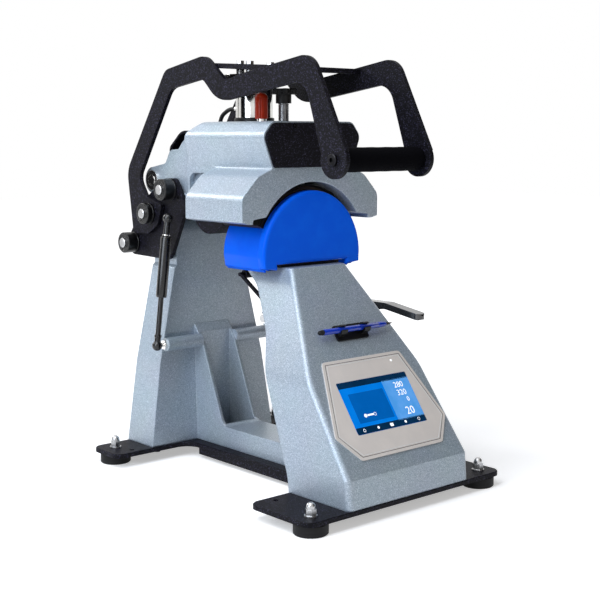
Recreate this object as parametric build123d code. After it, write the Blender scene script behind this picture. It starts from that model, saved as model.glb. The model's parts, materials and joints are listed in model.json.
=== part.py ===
from build123d import *
import math
import os

os.makedirs("parts", exist_ok=True)

# A bench press that heats artwork onto the front of a cap. The cap is pulled over a curved blue pad
# on top of a sloping control console. A hinged head behind it carries the curved heat platen, and a
# long double handle closes the head. All sizes are millimetres: X runs to the right of a person who
# faces the console, Y runs to the rear, Z runs up from the bench. Depths are given from the middle of
# the base plate, and save() moves every piece so that the origin is under the middle of the press.

# Where the middle of the whole press lies behind the middle of the base plate
ORIGIN_Y = 30.0

# Base plate and feet
FOOT_X = 157.5
FOOT_Y = 221.0
FOOT_RADIUS = 22.5
FOOT_HEIGHT = 15.5
STUD_RADIUS = 4.0
PLATE_BOTTOM = FOOT_HEIGHT
PLATE_TOP = 22.0
PLATE_HALF_WIDTH = 182.0
PLATE_FRONT = -244.0
PLATE_REAR = 248.0
FRONT_BAR_REAR = -128.0
REAR_BAR_FRONT = 178.0
STRIP_HALF_WIDTH = 51.0
STRIP_FLANGE = 4.0
STRIP_FLANGE_BOTTOM = 6.0
BENCH_HOLE_RADIUS = 3.5
BENCH_HOLES = [(x, y) for x in (-148.0, 148.0) for y in (-143.0, 191.0)]
BOLT_RADIUS = 3.0
BOLT_HEAD_RADIUS = 5.0
BOLT_HEAD_HEIGHT = 6.0
BOLT_TIP = 38.0
TOWER_BOLTS = [(x, y) for x in (-98.0, 98.0) for y in (198.0, 234.0)]
CONSOLE_BOLTS = [(x, y) for x in (-92.0, 92.0) for y in (-222.0, -143.0)]
BOLT_BOSS_RADIUS = 9.0
BOLT_BOSS_TOP = 44.0

# Pivots, as (y, z): the head on the tower, and the handle and its two stops on the crank plates
HEAD_PIVOT = (250.0, 420.0)
REAR_STOP = (288.0, 323.0)
HANDLE_PIVOT = (235.0, 370.6)
UPPER_STOP = (188.0, 408.0)

# Rear tower casting: half width against height, and its side outline as (y, z, corner radius)
TOWER_WIDTHS = [(117.0, 22.0), (98.3, 147.0), (66.0, 290.0), (62.0, 294.0), (62.0, 340.0), (48.0, 350.0)]
TOWER_TOP = 445.0
TOWER_WALL = 7.0
TOWER_REAR = 248.0
TOWER_SIDE = [
    (182.0, 22.0, 0), (190.0, 294.0, 60), (191.0, 350.0, 25), (233.0, 420.0, 0),
    (267.0, 420.0, 0), (248.0, 330.0, 40), (TOWER_REAR, 22.0, 0),
]
LUG_RADIUS = 17.0
LUG_INNER = 30.0
LUG_SLOT_BOTTOM = 376.0
POCKET_SIDE = [(189.5, 28.0, 0), (197.0, 294.0, 0), (197.0, 326.0, 0), (300.0, 326.0, 0), (300.0, 28.0, 0)]
COVER_SCREWS = [(100.0, 40.0), (76.0, 180.0), (47.0, 318.0)]
COVER_THICKNESS = 2.5
COVER_REAR = TOWER_REAR - 0.5
COVER_FRONT = COVER_REAR - COVER_THICKNESS
RIB_HALF_WIDTH = 33.0
RIB_WALL = 5.0
RIB_SIDE = [
    (-118.5, 22.0, 0), (-118.5, 53.0, 5), (117.0, 53.0, 16), (166.0, 174.0, 25),
    (192.0, 208.0, 0), (192.0, 22.0, 0),
]
RIB_HOLLOW = [
    (-113.0, 21.0, 0), (-113.0, 48.0, 2), (113.0, 48.0, 16), (160.0, 170.0, 20), (178.0, 192.0, 0),
    (178.0, 21.0, 0),
]
SPRING_BOSS = (173.0, 178.0)
SPRING_BOSS_RADIUS = 10.0
SPRING_BOSS_END = 97.0
CABLE_HOLE_RADIUS = 12.0
CABLE_HOLE_Z = 40.0

# Power parts on the rear cover, as (x, z)
INLET_PLACE = (-38.0, 72.0)
SWITCH_PLACE = (38.0, 72.0)

# Console: half width against height, and rear edge as (y, z), each with a corner radius
CREASE = (-239.5, 60.0)
CONSOLE_TOP = 308.5
CONSOLE_TOP_FRONT = -61.7
CONSOLE_TOP_REAR = 26.0
CONSOLE_FRONT = -243.0
CONSOLE_WIDTHS = [
    (113.0, 22.0, 0), (113.0, 60.0, 0), (105.5, 172.0, 60), (88.0, 217.0, 0), (51.5, CONSOLE_TOP, 0),
]
CONSOLE_REAR = [
    (-127.6, 22.0, 0), (-125.5, 44.0, 80), (-48.0, 225.0, 100), (-1.6, 282.0, 60),
    (CONSOLE_TOP_REAR, 298.0, 0),
]
CONSOLE_WALL = 4.0
CONSOLE_EDGE_RADIUS = 8.0
SLOPE_ANGLE = math.atan2(CONSOLE_TOP - CREASE[1], CONSOLE_TOP_FRONT - CREASE[0])

# Control panel on the slope, as (x, distance up the slope from the crease)
PANEL_CORNERS = [(75.0, 21.6), (103.0, 58.0), (72.0, 162.0)]
PANEL_THICKNESS = 1.6
SCREEN_HALF_WIDTH = 64.5
SCREEN_LOW = 55.0
SCREEN_HIGH = 130.0
MODULE_MARGIN = 2.5
MODULE_DEPTH = 14.0
BOARD_DEPTH = 22.0
LED_PLACE = (49.4, 150.0)
LED_RADIUS = 1.6
HOLDER_X = (-28.0, 30.0)
HOLDER_V = (188.5, 211.5)
PEN_V = 201.3
PEN_HEIGHT = 9.0
PEN_RADIUS = 4.0
PEN_X = (-63.0, 75.3)
PEN_TAPER = 16.0
PEN_ROUND = 3.2

# Lower platen: its arcs share one centre height
ARC_CENTRE_Z = 322.0
FLANGE_RADIUS = 90.5
FLANGE_Y = (-50.0, -37.0)
FLANGE_BOTTOM = 306.0
PAD_RADIUS = 84.0
PAD_REAR = 46.0
PAD_BOTTOM = 303.0
CORE_RADIUS = 76.0
PAD_FRONT_WALL = 6.0
NOTCH_HALF_WIDTH = 64.0
BRACKET_TOP = 312.7
BRACKET_HALF_WIDTH = 58.0
PLATEN_SCREWS = [(x, y) for x in (-30.0, 30.0) for y in (-30.0, 12.0)]
FIT_GAP = 0.3

# Hold-down bail behind the console, worked by a lever on the right
HOLD_DOWN_PIVOT = (-26.0, 238.0)
HOLD_DOWN_RADIUS = 5.0
EAR_INNER = 57.0
EAR_OUTER = 67.0
EAR_RADIUS = 11.0
EAR_ROOT = 34.0
BAIL_TIP = (56.0, 290.0)
BAIL_HALF_WIDTH = 45.0
LEVER_X = (103.0, 121.0)
LEVER_TIP = (-154.0, 240.0)
LEVER_BEND_Y = -87.0
LEVER_THICKNESS = 9.0

# Head casting: (x, z, corner radius) from the side to the crown, then the side outlines
HEAD_FRONT = -48.6
COVER_ARCH_REAR = 72.0
HEAD_COVER_REAR = 78.0
HUMP_REAR = 136.0
NECK_REAR = 148.0
HEAD_COVER_HALF = [
    (114.0, 370.0, 0), (125.5, 372.7, 2), (125.5, 405.0, 16), (98.0, 433.0, 20), (73.0, 443.0, 3),
]
HUMP_HALF = [(90.0, 487.0, 14), (74.0, 507.0, 14)]
HUMP_SIDE = [
    (HEAD_FRONT, 360.0, 0), (HEAD_FRONT, 507.0, 0), (104.0, 507.0, 12), (129.0, 492.0, 10),
    (HUMP_REAR, 455.0, 0), (NECK_REAR, 443.0, 0), (NECK_REAR, 360.0, 0),
]
NECK_HALF = [(68.0, 370.0, 4), (73.0, 443.0, 3)]
HEAD_WALL = 6.0
ARCH_RADIUS = 100.0
ARCH_CENTRE_Z = 324.6
CHEEK_INNER = 52.0
CHEEK_OUTER = 62.0
CHEEK_SIDE = [
    (126.0, 384.0, 0), (126.0, 496.0, 0), (152.0, 493.0, 10), (174.0, 476.0, 8), (182.0, 467.5, 6),
    (203.0, 466.5, 10), (216.0, 446.0, 8), (250.0, 440.0, 0), (250.0, 400.0, 0), (190.0, 388.0, 20),
]
CHEEK_LOBE_RADIUS = 20.0
PIVOT_SHAFT_RADIUS = 8.0
BUSH_RADIUS = 10.5
BUSH_FLANGE_RADIUS = 14.0
GUARD_CENTRE = (107.0, 385.0)
GUARD_RADIUS = 39.0
GUARD_HALF_WIDTH = 63.0
WINDOW_Y = (84.0, 142.0)
WINDOW_Z = (395.0, 434.0)

# Heat platen: an arc band that hangs in the head
HEAT_ANGLES = (27.6, 152.4)
HEAT_Y = (-34.0, 50.0)
PLATEN_RADII = (87.5, 94.0)
HEATER_RADII = (94.0, 95.2)
INSULATION_RADII = (95.2, 98.0)
CARRIER_RADIUS = 30.0
CARRIER_HUB_RADIUS = 18.0
CARRIER_TOP = 474.0
POST_X = 50.0
POST_RADIUS = 4.0
POST_TOP = 452.0

# Pressure screw and knob
SCREW_Y = 13.7
SCREW_RADIUS = 8.0
SCREW_BOTTOM = 438.0
KNOB_HUB_RADIUS = 11.0
KNOB_HUB_Z = (532.5, 545.0)
KNOB_STAR_RADIUS = 19.5
KNOB_STAR_Z = (545.0, 553.0)

# Electromagnet, its lead and the bumper on top of the head
HEAD_TOP = 507.0
MAGNET_Y = 79.0
MAGNET_RADIUS = 27.0
MAGNET_BASE_TOP = 513.0
MAGNET_TOP = 565.0
BUMPER_PLACE = (-21.0, 37.0)
BUMPER_RADIUS = 9.2
BUMPER_Z = (511.0, 547.5)
BUMPER_DOME = 8.0
BUMPER_STUD_TOP = 536.0
LEAD_RADIUS = 3.0
LEAD_ROUTE = [
    (-10.0, 108.0, 526.0), (-10.0, 125.0, 526.0), (-10.0, 143.0, 517.0), (-10.0, 150.0, 501.0),
    (-10.0, 150.0, 486.0),
]
LEAD_BENDS = [30.0, 18.0, 20.0]

# Crank plates on the head, as (y, z, corner radius), and their pins
CRANK_X = (66.0, 72.5)
CRANK_SIDE = [
    (203.0, 424.0, 14), (177.0, 425.0, 14), (151.0, 384.0, 14), (163.0, 358.0, 14), (187.0, 312.0, 16),
    (197.0, 302.0, 12), (297.0, 304.0, 16), (306.0, 327.0, 16), (256.0, 392.0, 20),
]
PIN_RADIUS = 7.5
PIN_END = 96.0
SLEEVE_RADIUS = 16.0
SLEEVE_END = 93.0
CRANK_SCREWS = [(214.0, 404.0), (170.0, 396.0)]

# Gas springs, as ball centres on the right hand side
SPRING_FOOT = (112.0, 173.0, 178.0)
SPRING_HEAD = (86.0, 178.0, 366.0)
BALL_RADIUS = 5.0
SOCKET_RADIUS = 8.5
SPRING_ROD_RADIUS = 4.0
SPRING_ROD_LENGTH = 150.0
CYLINDER_RADIUS = 8.0
CYLINDER_FROM = 38.0
CYLINDER_TO = 166.0
STUD_GAP = 0.6

# Handle plates, as (y, z, corner radius)
HANDLE_X = (73.65, 80.0)
GRIP_CENTRE = (-176.0, 457.0)
GRIP_LOBE_RADIUS = 24.0
HANDLE_SIDE = [
    (279.0, 338.0, 6), (293.0, 434.0, 38), (188.0, 583.0, 22), (90.0, 600.0, 30), (45.0, 563.0, 12),
    (10.0, 571.0, 40), (-134.0, 592.5, 30), (-198.0, 469.0, 0), (-176.0, 445.0, 0), (-154.0, 462.0, 0),
    (-121.3, 558.4, 28), (60.0, 533.5, 50), (96.4, 567.0, 15), (174.0, 555.7, 26), (262.0, 424.0, 18),
    (243.0, 396.0, 12), (202.0, 384.0, 4), (214.0, 354.0, 10), (240.0, 339.0, 10),
]
CROSS_PLATE_Y = (-65.0, 88.0)
CROSS_PLATE_TOP = (579.5, 589.0)
CROSS_PLATE_THICKNESS = 7.0
GRIP_RADIUS = 16.0
GRIP_TUBE_RADIUS = 11.0
ARMATURE_Y = 80.0
ARMATURE_RADIUS = 47.0
ARMATURE_Z = (566.0, 574.0)
ARMATURE_BOLTS = [(x, y) for x in (-28.0, 28.0) for y in (54.0, 76.0)]


def rounded(outline):
    """Closed line through (u, v, radius) corners."""
    points = [(u, v) for u, v, _ in outline]
    radii = [radius for _, _, radius in outline]
    return FilletPolyline(*points, radius=radii, close=True)


def along_x(outline, x0, x1):
    """Solid of a (y, z, radius) outline between two x values."""
    return extrude(Plane.YZ.offset(x0) * make_face(rounded(outline)), x1 - x0)


def along_y(outline, y0, y1):
    """Solid of an (x, z, radius) outline between two y values."""
    return extrude(Plane.XZ.offset(-y0) * make_face(rounded(outline)), -(y1 - y0))


def both_sides(half):
    """Closed outline from its right half, which runs from one end of the middle line to the other."""
    return half + [(-x, z, radius) for x, z, radius in reversed(half)]


def widths(half, top, inset=0.0):
    """Outline of a piece whose half width changes with height."""
    rows = [(x - inset, z, 0) for x, z in half]
    rows.append((half[-1][0] - inset, top, 0))
    return both_sides(rows)


def block(x0, x1, y0, y1, z0, z1):
    """Box between two corners."""
    place = Pos((x0 + x1) / 2, (y0 + y1) / 2, (z0 + z1) / 2)
    return place * Box(x1 - x0, y1 - y0, z1 - z0)


def rod_x(radius, centre, x0, x1):
    """Cylinder along X round a (y, z) centre."""
    return Pos((x0 + x1) / 2, *centre) * Rot(0, 90, 0) * Cylinder(radius, abs(x1 - x0))


def rod_y(radius, x, z, y0, y1):
    """Cylinder along Y."""
    return Pos(x, (y0 + y1) / 2, z) * Rot(90, 0, 0) * Cylinder(radius, y1 - y0)


def rod_z(radius, x, y, z0, z1):
    """Upright cylinder."""
    return Pos(x, y, (z0 + z1) / 2) * Cylinder(radius, z1 - z0)


def hexagon_z(across_flats, x, y, z0, z1):
    """Upright hexagonal prism."""
    face = Pos(x, y, z0) * RegularPolygon(across_flats / 2, 6, major_radius=False)
    return extrude(face, z1 - z0)


def hexagon_x(across_flats, centre, x0, x1):
    """Hexagonal prism along X."""
    face = Plane.YZ.offset(x0) * Pos(*centre) * RegularPolygon(across_flats / 2, 6, major_radius=False)
    return extrude(face, x1 - x0)


def mirrored(piece):
    """The same piece on the left hand side."""
    return mirror(piece, about=Plane.YZ)


def pair(piece):
    """The piece and its mirror image."""
    return [piece, mirrored(piece)]


def slope_plane(height=0.0):
    """Plane of the console slope: its x is X and its y runs up the slope from the crease."""
    out = (0, -math.sin(SLOPE_ANGLE), math.cos(SLOPE_ANGLE))
    origin = (0, CREASE[0] + out[1] * height, CREASE[1] + out[2] * height)
    return Plane(origin=origin, x_dir=(1, 0, 0), z_dir=out)


def on_slope(outline, height0, height1):
    """Solid of an (x, v, radius) outline between two heights over the slope."""
    return extrude(slope_plane(height0) * make_face(rounded(outline)), height1 - height0)


def rectangle(x0, x1, v0, v1, radius=0):
    """Outline of a rectangle with equal corners."""
    return [(x0, v0, radius), (x1, v0, radius), (x1, v1, radius), (x0, v1, radius)]


def save(name, shape):
    """Write one sub-part, moved to the frame of the whole press."""
    solids = []
    for piece in shape if isinstance(shape, list) else [shape]:
        solids.extend(piece.solids())
    moved = Compound(children=[Pos(0, -ORIGIN_Y, 0) * solid for solid in solids])
    export_step(moved, f"parts/{name}.step")


def make_base():
    """Base plate with its feet, nuts and bolts."""
    corner = 15
    inner = 24
    half = [
        (PLATE_HALF_WIDTH, PLATE_FRONT, corner), (PLATE_HALF_WIDTH, FRONT_BAR_REAR, corner),
        (STRIP_HALF_WIDTH, FRONT_BAR_REAR, inner), (STRIP_HALF_WIDTH, REAR_BAR_FRONT, inner),
        (PLATE_HALF_WIDTH, REAR_BAR_FRONT, corner), (PLATE_HALF_WIDTH, PLATE_REAR, corner),
    ]
    face = make_face(rounded(both_sides(half)))
    plate = extrude(Plane.XY.offset(PLATE_BOTTOM) * face, PLATE_TOP - PLATE_BOTTOM)
    plate = chamfer(plate.faces().sort_by(Axis.Z)[-1].edges(), 1.0)
    flange = block(STRIP_HALF_WIDTH - STRIP_FLANGE, STRIP_HALF_WIDTH, FRONT_BAR_REAR + inner,
                   REAR_BAR_FRONT - inner, STRIP_FLANGE_BOTTOM, PLATE_BOTTOM + 1)
    plate += flange + mirrored(flange)
    feet = [(x, y) for x in (-FOOT_X, FOOT_X) for y in (-FOOT_Y, FOOT_Y)]
    for x, y in feet:
        plate -= rod_z(STUD_RADIUS, x, y, 0, PLATE_TOP + 1)
    for x, y in BENCH_HOLES:
        plate -= rod_z(BENCH_HOLE_RADIUS, x, y, 0, PLATE_TOP + 1)
    for x, y in TOWER_BOLTS + CONSOLE_BOLTS:
        plate -= rod_z(BOLT_RADIUS, x, y, 0, PLATE_TOP + 1)
    save("base_plate", plate)

    stud_bottom = 4.0
    washer_top = PLATE_TOP + 1.6
    hex_top = washer_top + 8.0
    stud_top = hex_top + 2.0
    dome_radius = 6.0
    rubber = []
    studs = []
    washers = []
    nuts = []
    for x, y in feet:
        foot = rod_z(FOOT_RADIUS, x, y, 0, FOOT_HEIGHT)
        foot = chamfer(foot.edges(), 1.5)
        rubber.append(foot - rod_z(STUD_RADIUS, x, y, stud_bottom, FOOT_HEIGHT + 1))
        studs.append(rod_z(STUD_RADIUS, x, y, stud_bottom, stud_top))
        washers.append(rod_z(8.5, x, y, PLATE_TOP, washer_top) - rod_z(STUD_RADIUS, x, y, 0, 50))
        nut = hexagon_z(13.0, x, y, washer_top, hex_top)
        nut += rod_z(dome_radius, x, y, hex_top, hex_top + 2.5)
        nut += Pos(x, y, hex_top + 2.5) * Sphere(dome_radius)
        nuts.append(nut - rod_z(STUD_RADIUS, x, y, 0, stud_top))
    save("rubber_feet", rubber)
    save("foot_acorn_nuts", studs + washers + nuts)

    bolts = []
    for x, y in TOWER_BOLTS + CONSOLE_BOLTS:
        head = rod_z(BOLT_HEAD_RADIUS, x, y, PLATE_BOTTOM - BOLT_HEAD_HEIGHT, PLATE_BOTTOM)
        head -= hexagon_z(5.0, x, y, PLATE_BOTTOM - BOLT_HEAD_HEIGHT, PLATE_BOTTOM - BOLT_HEAD_HEIGHT / 2)
        bolts.append(head + rod_z(BOLT_RADIUS, x, y, PLATE_BOTTOM, BOLT_TIP))
    save("underplate_bolts", bolts)


def tower_front(inset):
    """Front outline of the tower, drawn in by an inset."""
    return widths(TOWER_WIDTHS, TOWER_TOP, inset)


def make_tower():
    """Rear tower casting with its rib, bridge, spring bosses and rear pocket."""
    reach = 130.0
    body = along_x(TOWER_SIDE, -reach, reach) & along_y(tower_front(0), 150, 300)
    body += rod_x(LUG_RADIUS, HEAD_PIVOT, -TOWER_WIDTHS[-1][0], TOWER_WIDTHS[-1][0])
    body -= block(-LUG_INNER, LUG_INNER, 150, 300, LUG_SLOT_BOTTOM, TOWER_TOP + 10)
    rib = along_x(RIB_SIDE, -RIB_HALF_WIDTH, RIB_HALF_WIDTH)
    hollow_half = RIB_HALF_WIDTH - RIB_WALL
    rib -= along_x(RIB_HOLLOW, -hollow_half, hollow_half)
    body += rib
    web = block(RIB_HALF_WIDTH - 1, 88, SPRING_BOSS[0], 190, SPRING_BOSS[1] - 4, SPRING_BOSS[1] + 4)
    boss = rod_x(SPRING_BOSS_RADIUS, SPRING_BOSS, RIB_HALF_WIDTH - 1, SPRING_BOSS_END)
    body += boss + mirrored(boss) + web + mirrored(web)

    screws = [(side * x, z) for x, z in COVER_SCREWS for side in (-1, 1)]
    inner = along_x(POCKET_SIDE, -reach, reach) & along_y(tower_front(TOWER_WALL), 150, 300)
    pocket = inner & block(-reach, reach, 150, COVER_FRONT, 0, TOWER_TOP)
    recess = inner & block(-reach, reach, COVER_FRONT, 320, 0, TOWER_TOP)
    for x, z in screws:
        pocket -= rod_y(6.0, x, z, 150, COVER_FRONT)
    for x, y in TOWER_BOLTS:
        pocket -= rod_z(BOLT_BOSS_RADIUS, x, y, 0, BOLT_BOSS_TOP)
    body -= pocket
    body -= recess
    screw_radius = 2.0
    screw_length = 12.0
    for x, z in screws:
        body -= rod_y(screw_radius, x, z, COVER_FRONT - screw_length, COVER_FRONT)
    for x, y in TOWER_BOLTS:
        body -= rod_z(BOLT_RADIUS, x, y, 0, BOLT_TIP)
    body -= rod_y(CABLE_HOLE_RADIUS, 0, CABLE_HOLE_Z, 170, 200)
    for side in (-1, 1):
        body -= rod_x(STUD_RADIUS, SPRING_BOSS, side * (SPRING_BOSS_END - 16), side * (SPRING_BOSS_END + 5))
        body -= rod_x(BUSH_RADIUS, HEAD_PIVOT, side * (LUG_INNER - 5), side * 60)
    save("tower_casting", body)

    cover = along_y(widths(TOWER_WIDTHS[:4], 325.6, TOWER_WALL + FIT_GAP), COVER_FRONT, COVER_REAR)
    cover &= block(-reach, reach, COVER_FRONT, COVER_REAR, 28.0 + FIT_GAP, 325.6)
    for x, z in screws:
        cover -= rod_y(screw_radius, x, z, 200, 300)
    for (x, z), half_x, half_z in ((INLET_PLACE, 14, 10), (SWITCH_PLACE, 11, 14)):
        cover -= block(x - half_x, x + half_x, 200, 300, z - half_z, z + half_z)
    for row in range(6):
        for column in range(-3, 4):
            slot = block(column * 14 - 4, column * 14 + 4, 200, 300, 232 + row * 9, 235 + row * 9)
            cover -= slot
    save("tower_back_cover", cover)

    cover_screws = []
    for x, z in screws:
        screw = rod_y(screw_radius, x, z, COVER_FRONT - screw_length, COVER_REAR)
        screw += rod_y(4.0, x, z, COVER_REAR, COVER_REAR + 2.2)
        cover_screws.append(screw - extrude(
            Plane.XZ.offset(-(COVER_REAR + 1)) * Pos(x, z) * RegularPolygon(1.5, 6), -3))
    save("back_cover_screws", cover_screws)

    x, z = INLET_PLACE
    inlet = block(x - 14 + FIT_GAP, x + 14 - FIT_GAP, 222, COVER_REAR, z - 10 + FIT_GAP, z + 10 - FIT_GAP)
    inlet += block(x - 18, x + 18, COVER_REAR, COVER_REAR + 2.5, z - 13, z + 13)
    inlet -= block(x - 12, x + 12, 231, 260, z - 8, z + 8)
    for dx in (-7, 0, 7):
        inlet += block(x + dx - 1, x + dx + 1, 228, 244, z - 2.5, z + 2.5)
    save("power_inlet", inlet)

    x, z = SWITCH_PLACE
    body = block(x - 11 + FIT_GAP, x + 11 - FIT_GAP, 226, COVER_REAR, z - 14 + FIT_GAP, z + 14 - FIT_GAP)
    body += block(x - 13, x + 13, COVER_REAR, COVER_REAR + 2, z - 16, z + 16)
    body -= block(x - 9, x + 9, 236, 260, z - 12, z + 12)
    save("switch_body", body)
    rocker = along_x([(240.0, z - 8, 1), (249.5, z - 10, 1), (248.5, z, 8), (252.5, z + 9.5, 1),
                      (240.0, z + 8, 1)], x - 8.4, x + 8.4)
    save("switch_rocker", rocker)
    supply = block(-46, 46, 208, COVER_FRONT, 118, 222)
    supply = chamfer(supply.edges().filter_by(Axis.Z), 2)
    save("power_supply", supply)


def console_outline():
    """Side outline of the console."""
    return CONSOLE_REAR + [
        (CONSOLE_TOP_REAR, CONSOLE_TOP, 0), (CONSOLE_TOP_FRONT, CONSOLE_TOP, 0), (*CREASE, 0),
        (CONSOLE_FRONT, PLATE_TOP, 0),
    ]


def is_front_edge(edge):
    """True for the edges where the console's front and slope meet its sides and its top."""
    centre = edge.center()
    if abs(centre.X) < 45 or edge.length < 5:
        return False
    off_slope = ((centre.Y - CREASE[0]) * math.sin(SLOPE_ANGLE)
                 - (centre.Z - CREASE[1]) * math.cos(SLOPE_ANGLE))
    on_slope_edge = abs(off_slope) < 0.5 and centre.Z > CREASE[1]
    on_band_edge = PLATE_TOP + 1 < centre.Z < CREASE[1] and centre.Y < CREASE[0] + 1
    return on_slope_edge or on_band_edge


def ear(room=0.0):
    """Boss that carries the hold-down shaft behind the console, with some room round it."""
    y, z = HOLD_DOWN_PIVOT
    reach = EAR_RADIUS + room
    solid = rod_x(reach, HOLD_DOWN_PIVOT, EAR_INNER - room, EAR_OUTER + room)
    solid += block(EAR_INNER - room, EAR_OUTER + room, y - EAR_ROOT, y, z - reach, z + reach)
    return solid


def ear_web(room=0.0):
    """Web that joins the boss to the side wall of the console."""
    y, z = HOLD_DOWN_PIVOT
    reach = EAR_RADIUS + room
    return block(EAR_INNER - room, 90.0, y - EAR_ROOT, y - EAR_ROOT / 2 + room, z - reach, z + reach)


def make_console():
    """Console shell, its rear cover and the parts of the control panel."""
    reach = 130.0
    side = along_x(console_outline(), -reach, reach)
    outer = side & along_y(both_sides(CONSOLE_WIDTHS), -300, 100)
    outer = fillet([edge for edge in outer.edges() if is_front_edge(edge)], CONSOLE_EDGE_RADIUS)
    out = CONSOLE_WALL
    inner_side = [
        (-239.0, 10.0, 0), (-235.6, 58.0, 3), (-59.6, CONSOLE_TOP - out, 3), (80.0, CONSOLE_TOP - out, 0),
        (80.0, 10.0, 0),
    ]
    inner_half = [(x - out, z, radius) for x, z, radius in CONSOLE_WIDTHS]
    inner_front = both_sides([(inner_half[0][0], 10.0, 0)] + inner_half[1:])
    inner = along_x(inner_side, -reach, reach) & along_y(inner_front, -300, 100)
    for x, y in CONSOLE_BOLTS:
        inner -= rod_z(BOLT_BOSS_RADIUS, x, y, 0, BOLT_BOSS_TOP)
        inner -= block(min(x, x * 1.3), max(x, x * 1.3), y - 3, y + 3, 0, BOLT_BOSS_TOP)
    shell = outer - inner
    web = ear_web() & outer
    shell += ear() + mirrored(ear()) + web + mirrored(web)
    for x, y in CONSOLE_BOLTS:
        shell -= rod_z(BOLT_RADIUS, x, y, 0, BOLT_TIP)
    shell -= rod_x(HOLD_DOWN_RADIUS + FIT_GAP, HOLD_DOWN_PIVOT, -100, 100)
    window = rectangle(-SCREEN_HALF_WIDTH + MODULE_MARGIN, SCREEN_HALF_WIDTH - MODULE_MARGIN,
                       SCREEN_LOW + MODULE_MARGIN, SCREEN_HIGH - MODULE_MARGIN, 2)
    shell -= on_slope(window, -20, 5)
    for x, y in PLATEN_SCREWS:
        shell -= rod_z(BOLT_RADIUS, x, y, 300, 320)
    save("console_shell", shell)

    shift = Pos(0, -2.5, 0)
    band = side - shift * side
    cover_front = both_sides([(x - FIT_GAP, z, radius) for x, z, radius in inner_half])
    cover = band & along_y(cover_front, -300, 100)
    cover &= block(-reach, reach, -300, 100, PLATE_TOP, CONSOLE_TOP - out - FIT_GAP)
    clear = ear(0.6) + ear_web(0.6)
    cover -= clear + mirrored(clear)
    for row in range(5):
        cover -= block(-30, 30, -110, -60, 120 + row * 9, 123 + row * 9)
    save("console_back_cover", cover)

    panel_half = [(x, v, 6) for x, v in PANEL_CORNERS]
    panel = on_slope(both_sides(panel_half), 0, PANEL_THICKNESS)
    window = rectangle(-SCREEN_HALF_WIDTH, SCREEN_HALF_WIDTH, SCREEN_LOW, SCREEN_HIGH, 3)
    panel -= on_slope(window, -1, 5)
    panel -= slope_plane() * Pos(*LED_PLACE, 0) * Cylinder(LED_RADIUS, 5)
    save("display_panel", panel)
    gap = FIT_GAP
    glass = rectangle(-SCREEN_HALF_WIDTH + gap, SCREEN_HALF_WIDTH - gap, SCREEN_LOW + gap,
                      SCREEN_HIGH - gap, 3)
    save("display_screen", on_slope(glass, 0, PANEL_THICKNESS + 0.2))
    edge = MODULE_MARGIN + gap
    module = on_slope(rectangle(-SCREEN_HALF_WIDTH + edge, SCREEN_HALF_WIDTH - edge, SCREEN_LOW + edge,
                                SCREEN_HIGH - edge, 2), -MODULE_DEPTH, 0)
    posts = [(x, v) for x in (-48.0, 48.0) for v in (66.0, 119.0)]
    for x, v in posts:
        module += on_slope(rectangle(x - 3, x + 3, v - 3, v + 3, 1), -BOARD_DEPTH, -MODULE_DEPTH)
    save("display_module", module)
    board = on_slope(rectangle(-56, 56, 56, 150, 2), -BOARD_DEPTH - 1.6, -BOARD_DEPTH)
    chips = [(-20, 90, 12), (18, 96, 9), (-30, 128, 7), (30, 126, 8)]
    for x, v, size in chips:
        board += on_slope(rectangle(x - size, x + size, v - size, v + size), -BOARD_DEPTH - 5,
                          -BOARD_DEPTH - 1.6)
    save("control_board", board)

    holder = on_slope(rectangle(*HOLDER_X, *HOLDER_V, 3), 0, 2.5)
    pen_place = slope_plane() * Pos(0, PEN_V, PEN_HEIGHT)
    clip_width = 11.0
    clip_radius = 7.0
    for x in (HOLDER_X[0] + clip_width / 2 + 2, HOLDER_X[1] - clip_width / 2 - 2):
        foot = rectangle(x - clip_width / 2, x + clip_width / 2, PEN_V - clip_radius, PEN_V + clip_radius)
        clip = on_slope(foot, 2.0, PEN_HEIGHT)
        clip += pen_place * Pos(x, 0, 0) * Rot(0, 90, 0) * Cylinder(clip_radius, clip_width)
        holder += clip
    holder -= pen_place * Rot(0, 90, 0) * Cylinder(PEN_RADIUS + FIT_GAP, 200)
    holder -= slope_plane(PEN_HEIGHT + 2) * Pos(0, PEN_V, 10) * Box(200, 2 * PEN_RADIUS - 2, 20)
    save("stylus_holder", holder)

    x0, x1 = PEN_X
    along_pen = pen_place * Rot(0, 90, 0)
    collar = x0 + 2 * PEN_ROUND
    shoulder = x1 - PEN_TAPER
    pen = along_pen * Pos(0, 0, (collar + shoulder) / 2) * Cylinder(PEN_RADIUS, shoulder - collar)
    pen += along_pen * Pos(0, 0, x0 + 1.5 * PEN_ROUND) * Cylinder(PEN_ROUND, PEN_ROUND)
    pen += along_pen * Pos(0, 0, x0 + PEN_ROUND) * Sphere(PEN_ROUND)
    pen += along_pen * Pos(0, 0, x1 - PEN_TAPER / 2) * Cone(PEN_RADIUS, 1.0, PEN_TAPER)
    save("stylus_pen", pen)


def arch_outline(radius, bottom):
    """Flat-bottomed outline with a half-round top, as a face in X and Z."""
    face = Pos(0, ARC_CENTRE_Z) * Circle(radius)
    face &= Pos(0, ARC_CENTRE_Z + radius / 2) * Rectangle(2 * radius, radius)
    face += Pos(0, (ARC_CENTRE_Z + bottom) / 2) * Rectangle(2 * radius, ARC_CENTRE_Z - bottom)
    return face


def arch_solid(radius, bottom, y0, y1):
    """Solid of that outline between two y values."""
    return extrude(Plane.XZ.offset(-y0) * arch_outline(radius, bottom), -(y1 - y0))


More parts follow.
